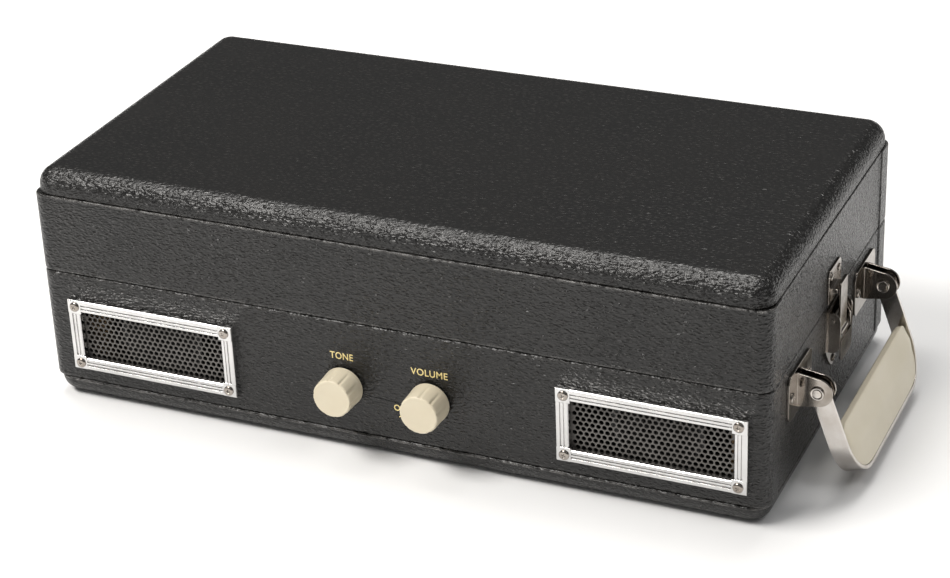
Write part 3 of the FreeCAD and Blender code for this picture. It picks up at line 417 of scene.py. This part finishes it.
paper = finish("cone_paper", grey(0.006, 0.06), grey(0.004, 0.06), grey(0.012, 0.06), (0.75, 0.9),
               grain=1500.0, spots=140.0, deep=0.08)
board_green = finish("circuit_board", (0.03, 0.16, 0.06, 1), (0.02, 0.11, 0.045, 1),
                     (0.08, 0.25, 0.12, 1), (0.3, 0.45), grain=900.0, spots=160.0, deep=0.03)
gold_ink = finish("gold_ink", (0.86, 0.72, 0.34, 1), (0.78, 0.62, 0.26, 1),
                  (0.8, 0.66, 0.35, 1), (0.32, 0.5), grain=3000.0, spots=700.0, deep=0.01,
                  edge=0.0, Metallic=0.3)

# %% [markdown]
# ## Leatherette
# The case is covered in embossed vinyl. Its pebbles are uneven cells about a millimetre and
# a half across, with soft creases between them, smaller wrinkles on top and a satin sheen.
# One layer of Voronoi cells, bent by a noise, gives the pebbles, and a second noise gives the
# soft folds. The flat top of the lid is pressed smoother than the walls, and the rolled edges
# are rubbed smooth, with a pale painted highlight coloured along them.

# %% The leatherette
leatherette, tree, shader, place = new_finish("black_leatherette", {"IOR": 1.49})
bend = add(tree, "TexNoise", {"Vector": place, "Scale": 260.0, "Detail": 3.0, "Roughness": 0.6})
shift = add(tree, "VectorMath", {0: bend.outputs["Color"], 1: (0.5, 0.5, 0.5)},
            operation="SUBTRACT")
shift = add(tree, "VectorMath", {0: shift.outputs["Vector"], "Scale": 0.0012}, operation="SCALE")
bent = add(tree, "VectorMath", {0: place, 1: shift.outputs["Vector"]}, operation="ADD")
bent = add(tree, "Mapping", {"Vector": bent.outputs["Vector"], "Scale": (0.45, 0.75, 1.0)})
pebbles = add(tree, "TexVoronoi", {"Vector": bent.outputs["Vector"], "Scale": 560.0},
              feature="DISTANCE_TO_EDGE")
folds = add(tree, "TexNoise", {"Vector": bent.outputs["Vector"], "Scale": 620.0, "Detail": 1.0,
                               "Roughness": 0.5})
pebble = ranged(tree, pebbles.outputs["Distance"], 0.0, 0.55, smooth=True)
skin = grain_in(tree, place, 900.0, 16.0)
height = maths(tree, "ADD", maths(tree, "MULTIPLY", pebble, 0.45),
               maths(tree, "MULTIPLY", folds.outputs["Fac"], 0.9))
height = maths(tree, "ADD", height, maths(tree, "MULTIPLY", skin.outputs["Grain"], 0.22))
rolled, painted_edge_highlight = wear_and_highlight_in(tree, place, 2.2 * MM, 0.8)
LID_TOP, FLAT_RELIEF, ROLLED_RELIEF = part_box("lid_top")[1].z, 0.45, 0.2
up = add(tree, "SeparateXYZ", {"Vector": place}).outputs["Z"]
relief = ranged(tree, up, LID_TOP - 1.4 * MM, LID_TOP - 0.2 * MM, 1.0, FLAT_RELIEF)
relief = maths(tree, "MULTIPLY", relief, ranged(tree, rolled, 0.0, 1.0, 1.0, ROLLED_RELIEF))
bump = add(tree, "Bump", {"Height": height, "Strength": relief, "Distance": 0.9 * MM})
tree.links.new(bump.outputs["Normal"], shader.inputs["Normal"])
# Painted shade and highlight: the creases between the pebbles are coloured darker and the pebble
# tops lighter.
colour = mix(tree, pebble, grey(0.002, 0.05), grey(0.017, 0.07))
colour = mix(tree, maths(tree, "MULTIPLY", skin.outputs["Mottle"], 0.25), colour,
             grey(0.015, 0.09))
# Painted highlight: a pale colour on the rolled edges stands in for the glint of light on the
# seams.
colour = mix(tree, painted_edge_highlight, colour, grey(0.42, 0.04))
tree.links.new(colour, shader.inputs["Base Color"])
sheen = maths(tree, "ADD", maths(tree, "MULTIPLY", pebble, 0.5),
              maths(tree, "MULTIPLY", skin.outputs["Mottle"], 0.5))
tree.links.new(ranged(tree, sheen, 0.0, 1.0, 0.32, 0.2), shader.inputs["Roughness"])
print("finishes:", len(bpy.data.materials))

# %% [markdown]
# ## Covered walls and plain metal parts
# The walls, hinges and brackets already have the right shape in CAD, where every edge is
# perfectly sharp. No real edge is, and a sharp one never glints. So each of these parts is
# copied, its loose triangles are welded, and its edges are eased by the width that
# the covering or the press would leave.

# %% Copies with eased edges
def dressed(node, width, material, segments=2, angle=30.0, clamp=True, smooth=35.0):
    """A copy of a CAD node with eased edges that stands for it."""
    source = nodes[node]
    piece = bpy.data.objects.new(node + "_dressed", source.data.copy())
    bpy.context.scene.collection.objects.link(piece)
    only(piece)
    bpy.ops.mesh.customdata_custom_splitnormals_clear()
    pick(piece, lambda face: True)
    bpy.ops.mesh.remove_doubles(threshold=2e-6)
    bpy.ops.mesh.dissolve_limited(angle_limit=math.radians(0.4))
    leave()
    ease(piece, width, segments, angle, clamp)
    return hand_over(piece, piece.name, source["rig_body"], material, (node,), smooth,
                     turn_out=False)


for wall in ("base_front", "base_back", "base_left", "base_right"):
    dressed(wall, 1.9, leatherette, segments=3, clamp=False)
for wall in ("lid_front", "lid_back", "lid_left", "lid_right"):
    dressed(wall, 0.8, leatherette, segments=3, clamp=False)
for panel in ("base_floor", "lid_top"):
    dressed(panel, 1.2, leatherette, segments=3, angle=40.0, clamp=False)
METAL_PARTS = {
    "handle_brackets": (0.4, old_nickel), "handle_strap": (0.5, nickel),
    "hinge_base_leaves": (0.25, old_nickel), "hinge_lid_leaves": (0.25, old_nickel),
    "hinge_pins": (0.3, old_nickel), "latch_plate": (0.3, old_nickel),
    "latch_lever": (0.3, old_nickel), "latch_claw": (0.3, old_nickel),
    "latch_strike": (0.3, old_nickel), "latch_pin": (0.3, old_nickel),
    "platter": (0.3, aluminium), "spindle": (0.2, steel), "bearing": (0.3, brass),
    "arm_turret": (0.3, aluminium), "tonearm": (0.3, aluminium),
    "motor": (0.8, steel), "motor_pulley": (0.2, steel), "idler_stud": (0.2, steel),
    "tone_shaft": (0.3, steel), "volume_shaft": (0.3, steel), "potentiometers": (0.3, steel),
}
for part, (width, metal) in METAL_PARTS.items():
    dressed(part, width, metal)
OTHER_PARTS = {
    "deck_plate": (0.5, deck_black), "arm_post": (0.5, deck_black),
    "arm_rest": (0.4, deck_black), "cue_bracket": (0.5, deck_black),
    "speed_plate": (0.3, deck_black), "deck_posts": (0.6, wood),
    "foot_pads": (0.4, rubber), "idler_wheel": (0.4, rubber),
    "cartridge": (0.4, black_plastic), "cue_lever": (0.4, black_plastic),
    "speed_selector": (0.5, black_plastic), "stop_slider": (0.6, black_plastic),
    "socket_panel": (0.4, black_plastic), "single_adapter": (0.4, cream),
}
for part, (width, material) in OTHER_PARTS.items():
    dressed(part, width, material)
for part, material in (("grille_left", grille_paint), ("grille_right", grille_paint),
                       ("speaker_frames", black_plastic), ("speaker_cones", paper),
                       ("circuit_board", board_green)):
    nodes[part].data.materials[0] = material
print("dressed copies:", len(made_pieces))

# %% [markdown]
# ## Bezels
# Each loudspeaker has a plated frame with a stepped moulding. Seen from its outer edge
# inwards it has a raised rim, a groove, a second lower ridge, another groove and a bead at
# the opening. A block's front face is inset again and again, each time with a small rise or
# fall, which mitres the corners by itself. Square bosses then go on at the corners for
# the screws.

# %% The moulding
RIM = [(0.5, 0.6), (2.0, 0.0), (0.2, -1.1), (0.65, 0.0), (0.25, 0.9), (1.0, -0.1), (0.2, -0.8),
       (0.6, 0.0), (0.25, 0.8), (1.35, 0.1), (0.6, -0.7)]
bezel_low, bezel_high = (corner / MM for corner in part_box("bezel_left"))
wall_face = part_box("base_front")[0].y / MM
bezel_mid = (bezel_low + bezel_high) / 2
RIM_BASE, BOSS_INSET, BOSS_HALF, BOSS_RISE, BOSS_SINK = 3.3, 4.5, 4.4, 4.0, 0.4
moulding = block((bezel_low.x, wall_face - RIM_BASE, bezel_low.z),
                 (bezel_high.x, wall_face, bezel_high.z))
pick(moulding, lambda face: face.normal.y < -0.9)
step_face(RIM)
leave()
pick(moulding, lambda face: face.normal.y > 0.9)
step_face([(sum(width for width, rise in RIM), 0.0)])
leave()
centre = Vector((bezel_mid.x, 0, bezel_mid.z)) * MM
pick(moulding, lambda face: (middle(face) - centre).xz.length < 0.5 * MM)
bpy.ops.mesh.bridge_edge_loops()
leave()
for across in (-1, 1):
    for up in (-1, 1):
        x = bezel_mid.x + across * ((bezel_high.x - bezel_low.x) / 2 - BOSS_INSET)
        z = bezel_mid.z + up * ((bezel_high.z - bezel_low.z) / 2 - BOSS_INSET)
        boss = block((x - BOSS_HALF, wall_face - BOSS_RISE, z - BOSS_HALF),
                     (x + BOSS_HALF, wall_face - BOSS_SINK, z + BOSS_HALF))
        ease(boss, 0.5, 2)
        weld_on(moulding, boss)
pick(moulding, lambda face: True)
bpy.ops.mesh.remove_doubles(threshold=1e-5)
bpy.ops.mesh.dissolve_limited(angle_limit=math.radians(0.5))
leave()
ease(moulding, 0.12, 2, angle=22.0, clamp=False)
across_case = Matrix.Translation(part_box("bezel_right")[0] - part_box("bezel_left")[0])
moulding_right = copy_of(moulding, across_case)
hand_over(moulding, "bezel_moulding_left", "case", chrome, ("bezel_left",), smooth=30)
hand_over(moulding_right, "bezel_moulding_right", "case", chrome, ("bezel_right",),
          smooth=30)
print("bezel faces:", len(moulding.data.polygons))

# %% [markdown]
# ## Screws
# All the screws on the case are raised heads with a cross recess. One head is modelled,
# with a stepped dome and a tapered cross cut out of it, and then copied to every place
# where the CAD has a screw, scaled to that screw's size and turned by a different angle.

# %% One screw head
head = disc((0, 0, 100), 1000, 200, sides=40)
pick(head, lambda face: face.normal.z > 0.9)
step_face([(90, 110), (180, 80), (260, 50)])
leave()
for turn in (0, 90):
    bar = block((-620, -125, 210), (620, 125, 700))
    pick(bar, lambda face: face.normal.z < -0.9)
    bpy.ops.transform.resize(value=(0.55, 0.5, 1.0))
    leave()
    bar.matrix_world = Matrix.Rotation(math.radians(turn), 4, "Z")
    settle(bar)
    cut_away(head, bar)
ease(head, 22, 2, angle=28.0)


def solids_of(node):
    """The (low, high) corners of each separate solid in a CAD node."""
    mesh = bmesh.new()
    mesh.from_mesh(nodes[node].data)
    bmesh.ops.remove_doubles(mesh, verts=mesh.verts, dist=2e-6)
    left, found = set(mesh.verts), []
    while left:
        start = min(left, key=lambda point: point.index)
        stack, solid = [start], {start}
        while stack:
            for edge in stack.pop().link_edges:
                for point in edge.verts:
                    if point not in solid:
                        solid.add(point)
                        stack.append(point)
        left -= solid
        places = [point.co.copy() for point in solid]
        found.append((Vector(map(min, *places)), Vector(map(max, *places))))
    mesh.free()
    return sorted(found, key=lambda box: tuple(box[0]))


def place_screws(node, name, body, material):
    """A modelled head at each screw of a CAD node, facing out of the case."""
    heads = []
    for number, (low, high) in enumerate(solids_of(node)):
        size, centre = high - low, (low + high) / 2
        thin = min(range(3), key=lambda axis: size[axis])
        out = Vector((0, 0, 0))
        out[thin] = math.copysign(1.0, centre[thin])
        foot = centre.copy()
        foot[thin] = low[thin] if out[thin] > 0 else high[thin]
        radius, tall = sorted(size)[1] / 2, size[thin] / 0.44
        turn = Vector((0, 0, 1)).rotation_difference(out).to_matrix().to_4x4()
        spin = Matrix.Rotation(math.radians(17 + 37 * number), 4, "Z")
        scale = Matrix.Diagonal((radius, radius, tall, 1))
        heads.append(copy_of(head, Matrix.Translation(foot) @ turn @ spin @ scale))
    return hand_over(join(heads), name, body, material, (node,), smooth=30)


place_screws("bezel_screws", "bezel_screw_heads", "case", old_nickel)
place_screws("case_screws", "case_screw_heads", "case", old_nickel)
place_screws("lid_screws", "lid_screw_heads", "lid", old_nickel)
bpy.data.objects.remove(head)

# %% [markdown]
# ## Knobs
# A knob is moulded in cream plastic: a slightly wider skirt at the panel, a body that
# tapers to a flat face, and ten shallow grooves for the fingers. It starts as a many-sided
# bar that is scored into rings. The rings are scaled for the taper, and every eighth line
# of points is drawn in for a groove.

# %% The tone knob, and a copy for the volume
knob_low, knob_high = (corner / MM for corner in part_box("tone_knob"))
knob_mid = (knob_low + knob_high) / 2
back, face, reach = knob_high.y, knob_low.y, (knob_high.x - knob_low.x) / 2
axis = Vector((knob_mid.x, 0, knob_mid.z)) * MM
SIDES, GROOVES = 120, 10
knob = disc((knob_mid.x, (back + face) / 2, knob_mid.z), reach, back - face, "Y", SIDES)
RINGS = {1.0: 1.0, 2.6: 1.0, 3.3: 0.985, 5.0: 0.98, 10.5: 0.972, 14.4: 0.965, 15.3: 0.955}
for deep in RINGS:
    cut_at(knob, (0, (back - deep) * MM, 0), (0, 1, 0))


def at_depth(point, deep):
    """True for the points of one ring, by its distance from the panel."""
    return abs(point.co.y - (back - deep) * MM) < 0.01 * MM


for deep, scale in RINGS.items():
    pick(knob, lambda point: at_depth(point, deep), "VERT")
    bpy.ops.transform.resize(value=(scale, 1, scale), center_override=axis)
    leave()
pick(knob, lambda point: at_depth(point, back - face), "VERT")
bpy.ops.transform.resize(value=(0.915, 1, 0.915), center_override=axis)
leave()


def in_groove(point, spread=0):
    """True for the points on the lines that the grooves follow."""
    arm = point.co - axis
    turn = (math.degrees(math.atan2(arm.z, arm.x)) + 9) % (360 / GROOVES)
    line = round(turn / (360 / SIDES)) % (SIDES // GROOVES)
    return line in ((0,) if spread == 0 else (spread, SIDES // GROOVES - spread))


for deep, draw in ((5.0, 0.99), (10.5, 0.945), (14.4, 0.94), (15.3, 0.965)):
    for spread, share in ((0, 1.0), (1, 0.5)):
        scale = 1 - (1 - draw) * share
        pick(knob, lambda point: at_depth(point, deep) and in_groove(point, spread), "VERT")
        bpy.ops.transform.resize(value=(scale, 1, scale), center_override=axis)
        leave()
pick(knob, lambda face: face.normal.y < -0.9)
step_face([(0.9, 0.0), (0.35, -0.15), (6.0, -0.1)])
leave()
ease(knob, 0.35, 3, angle=24.0)
to_volume = Matrix.Translation((-2 * knob_mid.x * MM, 0, 0))
knob_twin = copy_of(knob, to_volume @ Matrix.Translation(axis)
                    @ Matrix.Rotation(math.radians(14), 4, "Y") @ Matrix.Translation(-axis))
hand_over(knob, "knob_tone", "tone_knob", cream, ("tone_knob",), smooth=38)
hand_over(knob_twin, "knob_volume", "volume_knob", cream, ("volume_knob",), smooth=38)
print("knob faces:", len(knob.data.polygons))

# %% [markdown]
# ## Function words
# The panel carries three generic words in gold foil. Text is set in Blender's own font,
# turned into a mesh while flat, and laid a few hundredths of a millimetre proud of the wall.

# %% Letters on the front
CAPITAL_SHARE, OFF_RADIUS = 0.69, 23.0


def lettering(name, word, x, z, tall, turn=0.0, stretch=1.0):
    """A word as a thin mesh on the front wall, with capitals of a height in millimetres."""
    only_none()
    bpy.ops.object.text_add()
    text = bpy.context.object
    text.data.body = word
    text.data.size = tall * MM / CAPITAL_SHARE
    text.data.align_x, text.data.align_y = "CENTER", "CENTER"
    text.data.extrude = 0.04 * MM
    text.data.offset = 0.06 * MM
    text.data.space_character = 1.08
    bpy.ops.object.convert(target="MESH")
    piece = bpy.context.object
    piece.matrix_world = (Matrix.Translation(Vector((x, wall_face - 0.02, z)) * MM)
                          @ Matrix.Rotation(math.pi / 2, 4, "X")
                          @ Matrix.Rotation(math.radians(turn), 4, "Z")
                          @ Matrix.Diagonal((stretch, 1, 1, 1)))
    piece.name = name
    settle(piece)
    return piece


letters = [lettering("tone_word", "TONE", -27.6, 61.1, 4.15, stretch=0.86),
           lettering("volume_word", "VOLUME", 27.0, 60.0, 4.15, stretch=0.92)]
volume_x = -knob_mid.x
for letter, around in (("O", 201), ("F", 216), ("F", 230)):
    bearing = math.radians(around)
    letters.append(lettering("off_letter", letter, volume_x + OFF_RADIUS * math.cos(bearing),
                             knob_mid.z + OFF_RADIUS * math.sin(bearing), 3.6,
                             turn=around - 270))
hand_over(join(letters), "function_words", "case", gold_ink, smooth=20, turn_out=False)

# %% [markdown]
# ## The handle's grip
# The grip is a crowned cream pad that fills the lower half of the steel strap, with its
# lower corners following the strap's bend. It is a block scored into stations. Each
# station is scaled to the height that the strap leaves there, the top is thinned towards the
# outer face, and a subdivision surface turns the block into one smooth form.

# %% The grip as a smooth pad
handle_joint = next(joint for joint in frame["joints"] if joint["name"] == "handle_swing")
pivot = Vector(handle_joint["pos_m"])
LEAN = math.radians(-20.0)
HALF, TOP, FOOT, BACK, FRONT = 66.3, 24.8, 58.2, -4.2, 5.6
BEND, SHOULDER = 23.0, 9.0


def outline(y):
    """Highest and lowest reach of the grip below the pivot, at a distance from its middle."""
    top, foot = TOP, FOOT
    if y > HALF - BEND:
        foot = FOOT - BEND + math.sqrt(max(BEND ** 2 - (y - HALF + BEND) ** 2, 0.0))
    if y > HALF - SHOULDER:
        top = TOP + SHOULDER - math.sqrt(max(SHOULDER ** 2 - (y - HALF + SHOULDER) ** 2, 0.0))
    return top, foot


grip = block((BACK, -HALF, -FOOT), (FRONT, HALF, -TOP))
STATIONS = {22.0: 1.0, 43.0: 1.0, 50.0: 1.0, 55.5: 0.98, 60.0: 0.93, 63.6: 0.82, 65.6: 0.6}
for y in STATIONS:
    for sign in (-1, 1):
        cut_at(grip, (0, sign * y * MM, 0), (0, 1, 0))
cut_at(grip, (0, 0, 0), (0, 1, 0))
for z in (-TOP - 1.2, -TOP - 9.0, -(TOP + FOOT) / 2, -FOOT + 9.0, -FOOT + 1.6):
    cut_at(grip, (0, 0, z * MM), (0, 0, 1))
for x in (BACK + 2.0, FRONT - 1.6):
    cut_at(grip, (x * MM, 0, 0), (1, 0, 0))
for rise, half in ((1.5, 1.0), (1.2, 9.0)):
    pick(grip, lambda point: point.co.x > (FRONT - 0.1) * MM
         and abs(abs(point.co.z / MM + (TOP + FOOT) / 2) - half) < 1.2, "VERT")
    bpy.ops.transform.translate(value=(rise * MM, 0, 0))
    leave()
for z, share in ((-TOP, 0.35), (-TOP - 1.2, 0.6)):
    pick(grip, lambda point: abs(point.co.z - z * MM) < 0.01 * MM, "VERT")
    bpy.ops.transform.resize(value=(share, 1, 1), center_override=((FRONT - 0.8) * MM, 0, 0))
    leave()
for y, thick in {**STATIONS, HALF: 0.32}.items():
    top, foot = outline(y)
    share = (foot - top) / (FOOT - TOP)
    for sign in (-1, 1):
        pick(grip, lambda point: abs(point.co.y - sign * y * MM) < 0.01 * MM, "VERT")
        low_edge = Vector((0.7 * MM, sign * y * MM, -FOOT * MM))
        bpy.ops.transform.resize(value=(thick, 1, max(share, 0.06)), center_override=low_edge)
        bpy.ops.transform.translate(value=(0, 0, (FOOT - foot) * MM))
        leave()
modify(grip, "SUBSURF", levels=2, render_levels=2)
grip.matrix_world = Matrix.Translation(pivot) @ Matrix.Rotation(LEAN, 4, "Y")
hand_over(grip, "grip_pad", "handle", grip_cream, ("handle_grip",), smooth=60)
print("grip spans mm:", [round(value / MM, 1) for value in grip.dimensions])

# %% [markdown]
# ## Rivets of the handle
# The handle turns on two hollow rivets. Each has a rolled rim at both ends round a small
# hole, which is a disc whose end is inset up, over and down again.

# %% Rolled rivets
rivets = []
for low, high in solids_of("handle_pins"):
    centre = (low + high) / 2 / MM
    long = (high.y - low.y) / MM
    rivet = disc(centre, 2.38, long - 0.4, "Y", 40)
    parts = [rivet]
    for sign in (-1, 1):
        end = centre.y + sign * (long / 2 - 0.65)
        rim = disc((centre.x, end, centre.z), 3.9, 1.3, "Y", 48)
        pick(rim, lambda face: face.normal.y * sign > 0.9)
        step_face([(0.9, 0.0), (0.7, -0.55), (0.5, -0.35), (0.35, 0.0)])
        leave()
        ease(rim, 0.32, 3, angle=25.0)
        parts.append(rim)
    rivets.append(join(parts))
hand_over(join(rivets), "handle_rivets", "case", nickel, ("handle_pins",), smooth=30)

# %% [markdown]
# ## The record mat
# A rubber mat lies on the platter, moulded in raised rings that carry the record. Its top
# face is inset in turn, up and down, from the rim to the spindle.

# %% A ribbed mat
mat_low, mat_high = (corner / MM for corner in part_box("platter_mat"))
mat_mid = (mat_low + mat_high) / 2
mat = disc(mat_mid, (mat_high.x - mat_low.x) / 2, mat_high.z - mat_low.z, "Z", 128)
pick(mat, lambda face: face.normal.z > 0.9)
MAT_HOLE, rings = 4.55, [(0.6, 0.0)]
for _ in range(20):
    rings += [(2.6, 0.0), (0.3, -0.35), (1.0, 0.0), (0.3, 0.35)]
used = sum(width for width, rise in rings)
rings.append(((mat_high.x - mat_low.x) / 2 - used - MAT_HOLE, 0.0))
step_face(rings)
leave()
pick(mat, lambda face: face.normal.z < -0.9)
step_face([((mat_high.x - mat_low.x) / 2 - MAT_HOLE, 0.0)])
leave()
spot = Vector((mat_mid.x, mat_mid.y, 0)) * MM
pick(mat, lambda face: (middle(face) - spot).xy.length < 0.5 * MM)
bpy.ops.mesh.bridge_edge_loops()
leave()
hand_over(mat, "ribbed_mat", "platter", rubber, ("platter_mat",), smooth=30)

# %% [markdown]
# ## Camera, floor and light
# The case stands on a pale floor in studio light. The camera is a long lens, above and to the
# right of the front. Two large softboxes, in front and overhead, give most of the light. Two
# weak ones lift the shadows at the front and at the right end.

# %% The camera
AZIMUTH, ELEVATION, ROLL = (math.radians(angle) for angle in (24.64, 27.32, -2.42))
CAMERA_PLACE, LENS = (0.5516, -1.1951, 0.7312), 93.13
forward = Vector((-math.sin(AZIMUTH) * math.cos(ELEVATION),
                  math.cos(AZIMUTH) * math.cos(ELEVATION), -math.sin(ELEVATION)))
level = Vector((math.cos(AZIMUTH), math.sin(AZIMUTH), 0))
above = level.cross(forward)
right = level * math.cos(ROLL) + above * math.sin(ROLL)
up = above * math.cos(ROLL) - level * math.sin(ROLL)
camera_data = bpy.data.cameras.new("studio_camera")
camera_data.sensor_width = 36.0
camera_data.lens = LENS
camera_data.clip_start, camera_data.clip_end = 0.05, 50.0
camera = bpy.data.objects.new("studio_camera", camera_data)
camera.matrix_world = (Matrix.Translation(CAMERA_PLACE)
                       @ Matrix((right, up, -forward)).transposed().to_4x4())
bpy.context.scene.collection.objects.link(camera)
bpy.context.scene.camera = camera

# %% The floor
only_none()
bpy.ops.mesh.primitive_plane_add(size=14.0, location=(0, 0, -0.0002))
floor = bpy.context.object
floor.name = "studio_floor"
floor_paint, tree, shader, place = new_finish("pale_floor", {"Roughness": 0.6, "IOR": 1.2})
look = grain_in(tree, place, 300.0, 2.0)
tree.links.new(mix(tree, look.outputs["Mottle"], grey(0.93), grey(0.91)),
               shader.inputs["Base Color"])
floor.data.materials.append(floor_paint)


# %% The lights
def soft_light(name, place, target, wide, tall, watts, tint=(1, 1, 1)):
    """A rectangular lamp at a place, aimed at a target, with its size in metres."""
    data = bpy.data.lights.new(name, "AREA")
    data.shape, data.size, data.size_y = "RECTANGLE", wide, tall
    data.energy, data.color = watts, tint
    lamp = bpy.data.objects.new(name, data)
    lamp.location = place
    aim = Vector(target) - Vector(place)
    lamp.rotation_euler = aim.to_track_quat("-Z", "Y").to_euler()
    bpy.context.scene.collection.objects.link(lamp)


soft_light("front_softbox", (-0.85, -0.95, 1.85), (0, 0.05, 0), 1.3, 0.6, 44, (1.0, 0.975, 0.94))
soft_light("overhead_softbox", (-0.3, 0.7, 2.4), (0, 0.3, 0), 1.8, 0.7, 40, (1.0, 0.98, 0.95))
soft_light("low_softbox", (-1.0, -2.3, 0.75), (0, 0, 0.05), 1.5, 0.3, 2.5, (1.0, 0.97, 0.93))
soft_light("right_softbox", (1.3, -0.3, 1.7), (0.1, 0, 0), 0.6, 0.6, 4)

world = bpy.data.worlds.new("pale_studio")
bpy.context.scene.world = world
world.use_nodes = True
tree = world.node_tree
backdrop = tree.nodes["Background"]
way = add(tree, "SeparateXYZ", {"Vector": add(tree, "TexCoord").outputs["Generated"]})
sky = mix(tree, ranged(tree, way.outputs["Z"], 0.0, 0.9), grey(0.09), grey(0.3))
seen = mix(tree, add(tree, "LightPath").outputs["Is Camera Ray"], sky, grey(1.0))
tree.links.new(seen, backdrop.inputs["Color"])
backdrop.inputs["Strength"].default_value = 1.0
bpy.context.scene.view_settings.view_transform = "Standard"
